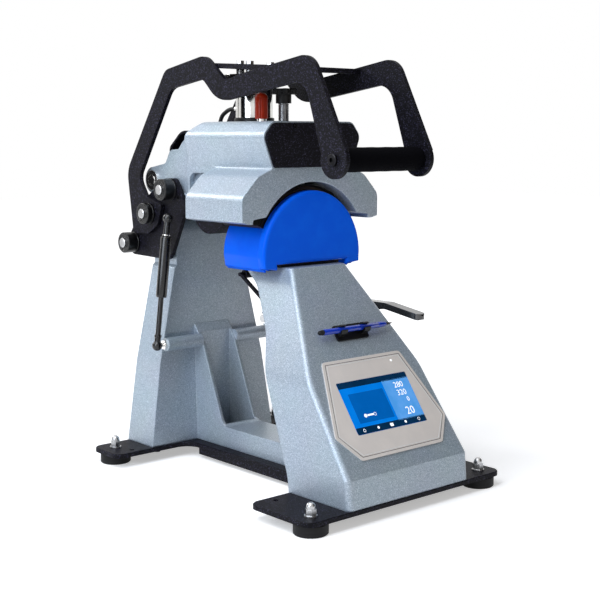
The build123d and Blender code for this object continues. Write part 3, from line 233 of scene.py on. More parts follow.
@dataclass(frozen=True)
class PowderCoat:
    """Polyester powder, sprayed and baked on metal: a pebbled skin with soft, broken highlights.

    The pebbles and the flakes are drawn a little coarser than real ones, so that they show.
    """

    name: str
    colour: str
    shade: str
    flake: str
    metallic: float = 0.0
    roughness: float = 0.5
    specular: float = 0.5
    coat: float = 0.0
    coat_roughness: float = 0.28
    pebble_mm: float = 1.1
    pebble_height_mm: float = 0.12
    pebble_span: Flat = (0.35, 0.62)
    relief_share: float = 0.6
    flake_mm: float = 0.9
    flake_share: float = 0.2
    cloud_mm: float = 60.0
    cloud_share: float = 0.1
    edge_mm: float = 0.8

    def build(self) -> bpy.types.Material:
        """Make the material.

        Returns:
            The new material.
        """
        material, tree = new_material(self.name)
        place = add_node(tree, "ShaderNodeTexCoord").outputs["Object"]
        pebble = add_node(tree, "ShaderNodeTexNoise", {
            "Scale": per_metre(self.pebble_mm), "Detail": 3.0, "Roughness": 0.6}, {"Vector": place})
        cloud = add_node(tree, "ShaderNodeTexNoise", {
            "Scale": per_metre(self.cloud_mm), "Detail": 2.0}, {"Vector": place})
        tone = two_tone(tree, pebble.outputs["Fac"], self.shade, self.colour, self.pebble_span)
        cells = add_node(tree, "ShaderNodeTexVoronoi", {
            "feature": "F1", "Scale": per_metre(self.flake_mm)}, {"Vector": place})
        grey = add_node(tree, "ShaderNodeSeparateColor", {}, {"Color": cells.outputs["Color"]})
        chosen = add_node(tree, "ShaderNodeMapRange", {
            "From Min": 1.0 - self.flake_share, "From Max": 1.0}, {"Value": grey.outputs["Red"]})
        flaked = add_node(tree, "ShaderNodeMixRGB", {"Color2": linear(self.flake)}, {
            "Fac": chosen.outputs["Result"], "Color1": tone})
        uneven = add_node(tree, "ShaderNodeMixRGB", {
            "blend_type": "MULTIPLY", "Fac": self.cloud_share}, {
            "Color1": flaked.outputs["Color"], "Color2": cloud.outputs["Color"]})
        normal = relief(tree, pebble.outputs["Fac"], self.relief_share, self.pebble_height_mm,
                        self.edge_mm)
        surface = add_node(tree, "ShaderNodeBsdfPrincipled", {
            "Metallic": self.metallic, "Roughness": self.roughness,
            "Specular IOR Level": self.specular, "Coat Weight": self.coat,
            "Coat Roughness": self.coat_roughness}, {
            "Base Color": uneven.outputs["Color"], "Normal": normal, "Coat Normal": normal})
        add_node(tree, "ShaderNodeOutputMaterial", {}, {"Surface": surface.outputs["BSDF"]})
        return material


@dataclass(frozen=True)
class Moulded:
    """Moulded rubber, silicone or plastic: even colour, a fine grain from the mould, soft edges."""

    name: str
    colour: str
    worn: str
    roughness: float = 0.5
    roughness_swing: float = 0.06
    specular: float = 0.35
    ior: float = 1.48
    grain_mm: float = 0.8
    grain_height_mm: float = 0.03
    relief_share: float = 0.5
    cloud_mm: float = 25.0
    wear_span: Flat = (0.45, 0.85)
    coat: float = 0.0
    coat_roughness: float = 0.15
    subsurface: float = 0.0
    subsurface_mm: float = 3.0
    edge_mm: float = 0.5
    glow: float = 0.0

    def build(self) -> bpy.types.Material:
        """Make the material.

        Returns:
            The new material.
        """
        material, tree = new_material(self.name)
        place = add_node(tree, "ShaderNodeTexCoord").outputs["Object"]
        grain = add_node(tree, "ShaderNodeTexNoise", {
            "Scale": per_metre(self.grain_mm), "Detail": 4.0}, {"Vector": place})
        cloud = add_node(tree, "ShaderNodeTexNoise", {
            "Scale": per_metre(self.cloud_mm), "Detail": 5.0, "Roughness": 0.6}, {"Vector": place})
        colour = two_tone(tree, cloud.outputs["Fac"], self.colour, self.worn, self.wear_span)
        rough = patchy(tree, cloud.outputs["Fac"], self.roughness - self.roughness_swing,
                       self.roughness + self.roughness_swing)
        normal = relief(tree, grain.outputs["Fac"], self.relief_share, self.grain_height_mm,
                        self.edge_mm)
        surface = add_node(tree, "ShaderNodeBsdfPrincipled", {
            "IOR": self.ior, "Specular IOR Level": self.specular, "Coat Weight": self.coat,
            "Coat Roughness": self.coat_roughness, "Subsurface Weight": self.subsurface,
            "Subsurface Scale": self.subsurface_mm * MM, "Emission Strength": self.glow}, {
            "Base Color": colour, "Roughness": rough, "Normal": normal})
        if self.glow > 0.0:
            tree.links.new(colour, surface.inputs["Emission Color"])
        add_node(tree, "ShaderNodeOutputMaterial", {}, {"Surface": surface.outputs["BSDF"]})
        return material


@dataclass(frozen=True)
class Metal:
    """Bare or plated metal: turned, ground or polished, with the fine lines that the work left."""

    name: str
    colour: str
    shade: str
    roughness: float = 0.3
    roughness_swing: float = 0.3
    line_mm: float = 0.5
    line_height_mm: float = 0.02
    relief_share: float = 0.4
    cloud_mm: float = 18.0
    stain_span: Flat = (0.45, 0.75)
    lay: Lay = Lay.PLAIN
    edge_mm: float = 0.4
    edge_samples: int = 4

    def build(self) -> bpy.types.Material:
        """Make the material.

        Returns:
            The new material.
        """
        material, tree = new_material(self.name)
        place = add_node(tree, "ShaderNodeTexCoord").outputs["Object"]
        stretched = add_node(tree, "ShaderNodeMapping", {"Scale": self.lay.value}, {"Vector": place})
        lines = add_node(tree, "ShaderNodeTexNoise", {
            "Scale": per_metre(self.line_mm), "Detail": 3.0}, {"Vector": stretched.outputs["Vector"]})
        cloud = add_node(tree, "ShaderNodeTexNoise", {
            "Scale": per_metre(self.cloud_mm), "Detail": 3.0}, {"Vector": place})
        colour = two_tone(tree, cloud.outputs["Fac"], self.colour, self.shade, self.stain_span)
        rough = patchy(tree, lines.outputs["Fac"], self.roughness * (1.0 - self.roughness_swing),
                       self.roughness * (1.0 + self.roughness_swing))
        normal = relief(tree, lines.outputs["Fac"], self.relief_share, self.line_height_mm,
                        self.edge_mm, self.edge_samples)
        surface = add_node(tree, "ShaderNodeBsdfPrincipled", {"Metallic": 1.0}, {
            "Base Color": colour, "Roughness": rough, "Normal": normal})
        add_node(tree, "ShaderNodeOutputMaterial", {}, {"Surface": surface.outputs["BSDF"]})
        return material


Finish = PowderCoat | Moulded | Metal

# Pale blue-grey powder with aluminium flake under a clear coat: it sparkles, and creases flash white
SILVER_COAT = PowderCoat("silver_flake_powder_coat", "#a2b0bd", "#8896a3", "#d3dee7", metallic=0.32,
                         roughness=0.42, coat=0.5, pebble_mm=1.2, pebble_height_mm=0.14,
                         flake_mm=0.65, flake_share=0.3, edge_mm=2.4)
# Black wrinkle powder: coarse pebbles that catch small cool highlights
BLACK_COAT = PowderCoat("black_wrinkle_powder_coat", "#100f16", "#060609", "#403e52", roughness=0.52,
                        specular=0.1, pebble_mm=1.5, pebble_height_mm=0.3, flake_mm=1.0,
                        flake_share=0.16, edge_mm=0.9)
# Glossy black enamel over powder, worn smooth by the hand: it mirrors the room
LEVER_ENAMEL = Moulded("glossy_black_lever_enamel", "#0b0b0e", "#121216", roughness=0.2,
                       specular=0.6, coat=0.6, edge_mm=2.0)
# Cured silicone: saturated blue, satin, a little light goes into it
BLUE_SILICONE = Moulded("blue_cured_silicone", "#0060f0", "#046af6", roughness=0.4, specular=0.1,
                        grain_mm=1.2, grain_height_mm=0.02, subsurface=0.03, edge_mm=1.2)
# Vulcanised rubber: nearly black, dull, bloomed grey where it is handled
FOOT_RUBBER = Moulded("black_vulcanised_rubber", "#101012", "#1c1c1e", roughness=0.62,
                      specular=0.25, grain_height_mm=0.05)
# Closed-cell foam sleeve: dull black with fine open pores
GRIP_FOAM = Moulded("black_closed_cell_foam", "#060609", "#0a0a0e", roughness=0.8, specular=0.03,
                    grain_mm=0.7, grain_height_mm=0.12)
# Moulded nylon: satin black with a spark-eroded grain
BLACK_NYLON = Moulded("black_moulded_nylon", "#0b0b0d", "#151518", roughness=0.42, specular=0.3,
                      grain_height_mm=0.04)
# Turned nylon rollers: smoother and shinier than moulded nylon
SLEEVE_NYLON = Moulded("black_turned_nylon", "#060607", "#0c0c0e", roughness=0.3, grain_mm=0.5,
                       grain_height_mm=0.02, coat=0.15)
# Stoved enamel on the gas springs: semi-gloss black
SPRING_ENAMEL = Moulded("black_stoved_enamel", "#08080a", "#101013", roughness=0.26, coat=0.4)
# Cast urethane: warm orange with a slight translucence
ORANGE_URETHANE = Moulded("orange_cast_urethane", "#c22e04", "#9c1e02", roughness=0.36,
                          specular=0.2, coat=0.1, subsurface=0.03)
# PVC cable jacket: smooth dull black
CABLE_JACKET = Moulded("black_cable_jacket", "#0b0b0d", "#141416", roughness=0.5)
# Printed polyester film on the control panel: warm silver
PANEL_FILM = Moulded("silver_printed_film", "#dad3cd", "#e2dad3", roughness=0.4, grain_mm=0.4,
                     grain_height_mm=0.01)
# Painted shade and painted highlight round the film's edge, where the panel sits in a recess: a dark and
# a pale line, flat, and as smooth as the film
# Painted highlight: the pale line a little inside the film's edge stands for light on the recess's edge
PAINTED_HIGHLIGHT_LINE = Moulded("painted_highlight_line", "#eef0f0", "#f6f7f7", roughness=0.4)
# Painted shade: the dark line at the film's edge stands for the shade at the recess's edge
PAINTED_SHADE_LINE = Moulded("painted_shade_line", "#3a3d42", "#46494e", roughness=0.4)
# Circuit board laminate under solder mask: glossy green
SOLDER_MASK = Moulded("green_solder_mask", "#1c5a35", "#174c2c", roughness=0.3)
# Glossy ABS of the pen barrel: blue, with a sharp highlight
PEN_ABS = Moulded("blue_glossy_abs", "#1238b4", "#1c48cc", roughness=0.2, coat=0.4)
# Glass-fibre felt behind the heater, browned to black by the heat: dull and hairy
CHARRED_FELT = Moulded("charred_glass_felt", "#1b1a19", "#262422", roughness=0.9, specular=0.1,
                       grain_height_mm=0.2)
# Resin of the heater mat: dull brown
HEATER_RESIN = Moulded("brown_heater_resin", "#4a3325", "#3d2a1f", roughness=0.6)
# Polished chromium plate: mirror with faint turning lines
CHROME = Metal("polished_chrome_plate", "#dddcd9", "#c9c8c6", roughness=0.12, line_mm=0.8,
               line_height_mm=0.006, lay=Lay.ROUND_Z)
# Zinc plate on turned steel: bright, slightly frosted
ZINC = Metal("bright_zinc_plate", "#bdbdbe", "#98999b", roughness=0.28)
# Black oxide on screws: dark with an oily sheen
BLACK_OXIDE = Metal("black_oxide_steel", "#2c2c2f", "#1d1d20", roughness=0.38)
# Machined aluminium: grey, with cutter lines that stretch the highlights
ALUMINIUM = Metal("machined_aluminium", "#c3c5c6", "#aeb0b2", roughness=0.35, lay=Lay.ALONG_X)
# Baked release coating on the heat platen: dark brown-grey
RELEASE_COAT = Metal("baked_release_coating", "#3a3533", "#2b2725", roughness=0.55)
# Oil-filled sintered bronze: dull gold, a little porous
BRONZE = Metal("sintered_bronze", "#b98d52", "#9c7440", roughness=0.42)
# Display layers: lit from behind, so they glow a little
SCREEN_BLUE = Moulded("screen_blue_layer", "#0072d2", "#057edd", roughness=0.18, specular=0.12,
                      glow=0.4)
SCREEN_DEEP = Moulded("screen_deep_blue_layer", "#0059a8", "#005fb2", roughness=0.2, specular=0.12,
                      glow=0.35)
SCREEN_NAVY = Moulded("screen_navy_layer", "#062a48", "#08355c", roughness=0.2, specular=0.2,
                      glow=0.25)
SCREEN_PALE = Moulded("screen_pale_layer", "#4a93d8", "#6ea8ea", roughness=0.2, specular=0.2,
                      glow=0.4)
SCREEN_WHITE = Moulded("screen_white_layer", "#f4f8ff", "#ffffff", roughness=0.2, glow=0.6)

NODES_BY_FINISH: dict[Finish, tuple[str, ...]] = {
    SILVER_COAT: ("tower_casting", "console_shell", "head_casting"),
    BLACK_COAT: ("base_plate", "tower_back_cover", "console_back_cover", "platen_bracket",
                 "front_end_plate", "wiring_guard", "rear_cover", "crank_plates", "handle_plates",
                 "handle_cross_plate", "hold_down_bail"),
    LEVER_ENAMEL: ("hold_down_lever",),
    BLUE_SILICONE: ("lower_platen_pad",),
    FOOT_RUBBER: ("rubber_feet",),
    GRIP_FOAM: ("grip_sleeve",),
    BLACK_NYLON: ("power_inlet", "switch_body", "display_module", "stylus_holder",
                  "magnet_base_ring", "pressure_knob"),
    SLEEVE_NYLON: ("switch_rocker", "linkage_sleeves"),
    SPRING_ENAMEL: ("spring_rod_right", "spring_rod_left", "spring_cylinder_right",
                    "spring_cylinder_left"),
    ORANGE_URETHANE: ("bumper",),
    CABLE_JACKET: ("magnet_lead",),
    PANEL_FILM: ("display_panel",),
    SOLDER_MASK: ("control_board",),
    PEN_ABS: ("stylus_pen",),
    CHARRED_FELT: ("insulation_pad",),
    HEATER_RESIN: ("heater_element",),
    CHROME: ("tower_ball_studs", "pivot_shaft", "magnet_body", "bumper_stud", "armature_disc",
             "hold_down_nuts"),
    ZINC: ("foot_acorn_nuts", "platen_screws", "linkage_pins", "pressure_screw", "grip_tube",
           "armature_bolts", "hold_down_shaft"),
    BLACK_OXIDE: ("underplate_bolts", "back_cover_screws", "head_screws", "grip_screws"),
    ALUMINIUM: ("power_supply", "lower_platen_core", "platen_carrier"),
    RELEASE_COAT: ("heat_platen",),
    BRONZE: ("pivot_bushes",),
    SCREEN_BLUE: ("display_screen",),
}


class Workshop:
    """Keeps the finished materials and makes mesh pieces from points."""

    def __init__(self, frame: dict[str, Any]) -> None:
        """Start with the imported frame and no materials.
        """
        self.frame = frame
        self.materials: dict[str, bpy.types.Material] = {}

    def material(self, finish: Finish) -> bpy.types.Material:
        """Find the material of a finish, or make it on first use.

        Args:
            finish: Finish that is wanted.

        Returns:
            Its material.
        """
        if finish.name not in self.materials:
            self.materials[finish.name] = finish.build()
        return self.materials[finish.name]

    def dress_nodes(self) -> None:
        """Give every carried-over node its finish."""
        for finish, names in NODES_BY_FINISH.items():
            for name in names:
                for slot in self.frame["nodes"][name].material_slots:
                    slot.link = "OBJECT"
                    slot.material = self.material(finish)

    def piece(self, name: str, skin: Skin, finish: Finish, body: str, slot: str,
              smooth: bool = True) -> bpy.types.Object:
        """Make a mesh piece that rides on a body.

        Args:
            name: Name of the piece.
            skin: Its points, in metres, and its faces.
            finish: Finish that it gets.
            body: Body that it moves with.
            slot: Material slot of the record that it belongs to; not used.
            smooth: Whether its curved faces are shaded smooth.

        Returns:
            The new object.
        """
        points, faces = skin
        mesh = bpy.data.meshes.new(name)
        mesh.from_pydata(points, [], faces)
        mesh.validate()
        mesh.materials.append(self.material(finish))
        item = bpy.data.objects.new(name, mesh)
        bpy.context.scene.collection.objects.link(item)
        if smooth:
            mesh.shade_smooth()
            mesh.set_sharp_from_angle(angle=math.radians(SHARP_DEGREES))
        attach(item, body)
        LOG.info("%s: %d faces on %s", name, len(faces), body)
        return item


def loft(loops: list[Loop], close_ends: bool = True) -> Skin:
    """Join closed loops of equal length into a skin.

    Args:
        loops: Loops in order along the skin.
        close_ends: Whether the first and the last loop are filled.

    Returns:
        Points and faces.
    """
    count = len(loops[0])
    points = [point for loop in loops for point in loop]
    faces: list[Face] = []
    for row in range(len(loops) - 1):
        for index in range(count):
            after = (index + 1) % count
            low = row * count
            high = low + count
            faces.append((low + index, low + after, high + after, high + index))
    if close_ends:
        last = (len(loops) - 1) * count
        faces.append(tuple(reversed(range(count))))
        faces.append(tuple(range(last, last + count)))
    return points, faces


def circle(at: Flat, radius: float, count: int) -> list[Flat]:
    """Walk a circle.

    Args:
        at: Its centre.
        radius: Its radius.
        count: How many points it gets.

    Returns:
        Points of the circle.
    """
    turns = [math.tau * index / count for index in range(count)]
    return [(at[0] + radius * math.cos(turn), at[1] + radius * math.sin(turn)) for turn in turns]


def quarter(steps: int) -> list[Flat]:
    """Walk a quarter of a circle.

    Args:
        steps: Steps from 0 to 90 degrees.

    Returns:
        Cosine and sine at each step, with both ends.
    """
    turns = [math.pi / 2 * index / steps for index in range(steps + 1)]
    return [(math.cos(turn), math.sin(turn)) for turn in turns]


def turned(profile: list[Flat], place: Place, segments: int = 40) -> Skin:
    """Turn a profile of (distance along the axis, radius) round an axis.

    Args:
        profile: Profile points from one end to the other.
        place: Puts (along, across, up) into the frame.
        segments: Points round the axis.

    Returns:
        Points and faces of a closed skin.
    """
    return loft([[place(along, across, up) for across, up in circle((0.0, 0.0), radius, segments)]
                 for along, radius in profile])


def merged(skins: list[Skin]) -> Skin:
    """Put several skins into one.

    Args:
        skins: Skins to put together.

    Returns:
        All their points and faces.
    """
    points: Loop = []
    faces: list[Face] = []
    for skin_points, skin_faces in skins:
        start = len(points)
        points += skin_points
        faces += [tuple(start + corner for corner in face) for face in skin_faces]
    return points, faces


def rounded_corners(corners: list[Point], steps: int = 6) -> list[Flat]:
    """Walk a closed outline of (u, v, radius) corners, with an arc at each.

    Args:
        corners: Corners in order.
        steps: Segments of each arc.

    Returns:
        Points of the outline; each corner gives steps + 1 of them.
    """
    outline: list[Flat] = []
    for index, (u, v, radius) in enumerate(corners):
        here = Vector((u, v))
        before = (Vector(corners[index - 1][:2]) - here).normalized()
        after = (Vector(corners[(index + 1) % len(corners)][:2]) - here).normalized()
        half = before.angle(after) / 2
        reach = radius / math.tan(half)
        centre = here + (before + after).normalized() * (radius / math.sin(half))
        start = here + before * reach - centre
        end = here + after * reach - centre
        for step in range(steps + 1):
            share = step / steps
            spoke = start.slerp(end, share) if radius > 0 else start
            outline.append(tuple(centre + spoke))
    return outline


@dataclass(frozen=True)
class Slope:
    """Plane of the console's slope, measured across it, up it from the crease, and out from it."""

    crease_y_mm: float = -269.5
    crease_z_mm: float = 60.0
    angle_degrees: float = 54.416

    def directions(self) -> tuple[Vector, Vector]:
        """Find the slope's own directions.

        Returns:
            Direction up the slope and direction out of it.
        """
        angle = math.radians(self.angle_degrees)
        return (Vector((0.0, math.cos(angle), math.sin(angle))),
                Vector((0.0, -math.sin(angle), math.cos(angle))))

    def spot(self, across: float, up: float, out: float) -> Point:
        """Find a point over the slope.

        Args:
            across: Distance across the slope, in millimetres.
            up: Distance up the slope from the crease, in millimetres.
            out: Height over the slope, in millimetres.

        Returns:
            The point, in metres.
        """
        rise, lift = self.directions()
        point = Vector((across, self.crease_y_mm, self.crease_z_mm)) + rise * up + lift * out
        return (point.x * MM, point.y * MM, point.z * MM)


@dataclass
class PlatenPad:
    """Silicone pad over the lower platen: a thick front flange and a thinner body behind it.

    Its radius, ends and heights come from the plain solid. centre_mm is the height of the round
    top's axis, and inner_mm is the radius of the space for the core.
    """

    shop: Workshop
    flange_mm: float = 13.0
    body_step_mm: float = 6.5
    wall_mm: float = 8.0
    front_wall_mm: float = 6.0
    front_round_mm: float = 5.0
    front_inset_mm: float = 1.5
    rim_mm: float = 0.8
    notch_half_mm: float = 64.0
    notch_top_mm: float = 313.0
    flange_bottom_mm: float = 306.0
    corner_mm: float = 4.0
    least_corner_mm: float = 0.6
    inner_corner_mm: float = 0.5
    arc_points: int = 72
    round_points: int = 6
    centre_mm: float = field(init=False)
    inner_mm: float = field(init=False)

    def band(self, radius: float, low: float, inset: float, hollow: bool) -> list[Flat]:
        """Section of the pad at one depth, in millimetres.

        Args:
            radius: Radius of the half-round top.
            low: Height of the lower edges.
            inset: How far the outline is drawn in.
            hollow: Whether the core's space is open, or only the notch over the console.

        Returns:
            Points over the top from left to right, and back along the inside.
        """
        centre = self.centre_mm
        reach = radius - inset
        inner = self.inner_mm if hollow else self.notch_half_mm + inset
        floor = low + inset
        soft = max(self.corner_mm - inset, self.least_corner_mm)
        foot = [(-inner, floor, self.inner_corner_mm), (-reach, floor, soft),
                (-reach, centre, 0.0), (-inner, centre, 0.0)]
        left = rounded_corners(foot, self.round_points)[:2 * (self.round_points + 1)]
        arc = []
        for index in range(self.arc_points + 1):
            turn = math.pi * (1 - index / self.arc_points)
            arc.append((reach * math.cos(turn), centre + reach * math.sin(turn)))
        right = [(-u, v) for u, v in reversed(left)]
        return left + arc + right + self.inside(inner, inset, hollow)

    def inside(self, inner: float, inset: float, hollow: bool) -> list[Flat]:
        """Inner edge of the section, from the right foot to the left one.

        Args:
            inner: Half its width.
            inset: How far the outline is drawn in.
            hollow: Whether it arches over the core, or is the flat top of the notch.

        Returns:
            Points of the edge, in millimetres.
        """
        path = []
        for index in range(self.arc_points + 1):
            turn = math.pi * (index / self.arc_points)
            rise = self.centre_mm + inner * math.sin(turn)
            path.append((inner * math.cos(turn), rise if hollow else self.notch_top_mm + inset))
        return path

    def build(self) -> None:
        """Make the pad and hide its plain solid."""
        low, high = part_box("lower_platen_pad")
        radius = high[0] / MM
        self.centre_mm = high[2] / MM - radius
        body = radius - self.body_step_mm
        self.inner_mm = body - self.wall_mm
        front, rear = low[1] / MM, high[1] / MM
        flange_low, body_low = self.flange_bottom_mm, low[2] / MM
        soft = self.front_round_mm
        rings = [(front, self.band(radius, flange_low, soft + self.front_inset_mm, False))]
        for cosine, sine in quarter(self.round_points):
            rings.append((front + soft * (1 - cosine),
                          self.band(radius, flange_low, soft * (1 - sine), False)))
        wall = front + self.front_wall_mm
        step = front + self.flange_mm
        rings += [(wall, self.band(radius, flange_low, 0.0, False)),
                  (wall, self.band(radius, flange_low, 0.0, True)),
                  (step - self.rim_mm, self.band(radius, flange_low, 0.0, True)),
                  (step, self.band(radius, flange_low, self.rim_mm, True)),
                  (step, self.band(body, body_low, 0.0, True)),
                  (rear - self.rim_mm, self.band(body, body_low, 0.0, True)),
                  (rear, self.band(body, body_low, self.rim_mm, True))]
        skin = loft([[(u * MM, y * MM, v * MM) for u, v in ring] for y, ring in rings])
        pad = self.shop.piece("blue_pad", skin, BLUE_SILICONE, "stand", "blue_silicone")
        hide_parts("lower_platen_pad")


@dataclass
class Grip:
    """Foam sleeve on the handle's cross tube, with the shallow sags that hands press into it."""

    shop: Workshop
    round_mm: float = 4.0
    round_steps: int = 6
    sag_mm: float = 0.25
    sags: int = 5
    rings: int = 40

    def build(self) -> None:
        """Make the foam sleeve and hide its plain solid."""
        low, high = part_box("grip_sleeve")
        middle = [(low[axis] + high[axis]) / 2 for axis in range(3)]
        radius = (high[2] - low[2]) / 2
        tube = (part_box("grip_tube")[1][2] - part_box("grip_tube")[0][2]) / 2
        soft = self.round_mm * MM
        arc = quarter(self.round_steps)
        profile = [(low[0], tube), (low[0], radius - soft)]
        for cosine, sine in arc[1:]:
            profile.append((low[0] + soft * (1 - cosine), radius - soft * (1 - sine)))
        length = high[0] - low[0] - 2 * soft
        for index in range(1, self.rings):
            share = index / self.rings
            sag = self.sag_mm * MM * math.sin(share * math.pi * self.sags) ** 2
            profile.append((low[0] + soft + length * share, radius - sag))
        for cosine, sine in reversed(arc):
            profile.append((high[0] - soft * (1 - cosine), radius - soft * (1 - sine)))
        profile.append((high[0], tube))

        def place(along: float, across: float, up: float) -> Point:
            """Put a point on the grip's own axis."""
            return (along, middle[1] + across, middle[2] + up)

        sleeve = self.shop.piece("foam_grip", turned(profile, place), GRIP_FOAM, "handle", "grip_foam")
        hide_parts("grip_sleeve")


@dataclass
class PressureScrew:
    """Threaded rod under the star knob, a little thinner than its bore so that it turns freely."""

    shop: Workshop
    pitch_mm: float = 2.0
    depth_mm: float = 1.1
    crest_gap_mm: float = 0.15
    steps_per_turn: int = 6
    segments: int = 36

    def build(self) -> None:
        """Make the threaded rod and hide its plain solid."""
        low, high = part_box("pressure_screw")
        x, y = (low[0] + high[0]) / 2, (low[1] + high[1]) / 2
        radius = (high[0] - low[0]) / 2 - self.crest_gap_mm * MM
        pitch = self.pitch_mm * MM
        rows = int((high[2] - low[2]) / pitch * self.steps_per_turn)
        loops = []
        for row in range(rows + 1):
            z = low[2] + (high[2] - low[2]) * row / rows
            loop = []
            for index in range(self.segments):
                turn = index / self.segments
                phase = (z / pitch - turn) % 1.0
                groove = abs(phase - 0.5) * 2
                reach = radius - self.depth_mm * MM * groove
                angle = math.tau * turn
                loop.append((x + reach * math.cos(angle), y + reach * math.sin(angle), z))
            loops.append(loop)
        rod = self.shop.piece("threaded_pressure_rod", loft(loops), ZINC, "pressure_screw_assembly",
                              "bright_steel")
        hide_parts("pressure_screw")


@dataclass
class Rollers:
    """Turned nylon sleeves on the ends of the linkage pins.

    groove_mm gives the turned groove as (distance from the crank plate, depth), and places_mm
    gives each sleeve's start and its pin's place from front to rear and in height.
    """

    shop: Workshop
    radius_mm: float = 16.0
    end_mm: float = 93.0
    edge_mm: float = 0.5
    groove_mm: tuple[Flat, ...] = ((3.0, 0.0), (3.4, 0.5), (4.2, 0.5), (4.6, 0.0))
    lip_mm: float = 1.2
    lip_steps: int = 5
    dish_mm: float = 1.8
    dish_radius_mm: float = 12.4
    dish_slope_mm: float = 1.0
    hub_radius_mm: float = 7.6
    break_mm: float = 0.6
    places_mm: tuple[Point, ...] = ((72.5, 258.0, 323.0), (80.3, 205.0, 370.6), (72.5, 158.0, 408.0))

    def profile(self, start: float) -> list[Flat]:
        """Half section from the crank plate to the dished end.

        Args:
            start: Distance of the crank plate's face from the middle of the press.

        Returns:
            Distance along the pin and radius of each point, in millimetres.
        """
        end, lip, wide = self.end_mm, self.lip_mm, self.radius_mm
        floor = end - self.dish_mm
        outer = [(start, self.hub_radius_mm), (start, wide - self.edge_mm), (start + self.edge_mm, wide)]
        groove = [(start + along, wide - depth) for along, depth in self.groove_mm]
        nose = [(end - lip * (1 - sine), wide - lip * (1 - cosine))
                for cosine, sine in quarter(self.lip_steps)]
        dish = [(end, self.dish_radius_mm + self.break_mm), (end - self.edge_mm, self.dish_radius_mm),
                (floor, self.dish_radius_mm - self.dish_slope_mm),
                (floor, self.hub_radius_mm + self.break_mm), (floor + self.break_mm, self.hub_radius_mm)]
        return outer + groove + nose + dish

    def build(self) -> None:
        """Make the six sleeves as one piece and hide the plain ones."""
        skins = []
        for side in (-1, 1):
            for start, depth, height in self.places_mm:
                def place(along: float, across: float, up: float, side: int = side,
                          depth: float = depth, height: float = height) -> Point:
                    """Put a point on this sleeve's axis."""
                    return (side * along * MM, (depth + across) * MM, (height + up) * MM)

                skins.append(turned(self.profile(start), place))
        sleeves = self.shop.piece("turned_sleeves", merged(skins), SLEEVE_NYLON, "head", "sleeve_nylon")
        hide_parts("linkage_sleeves")


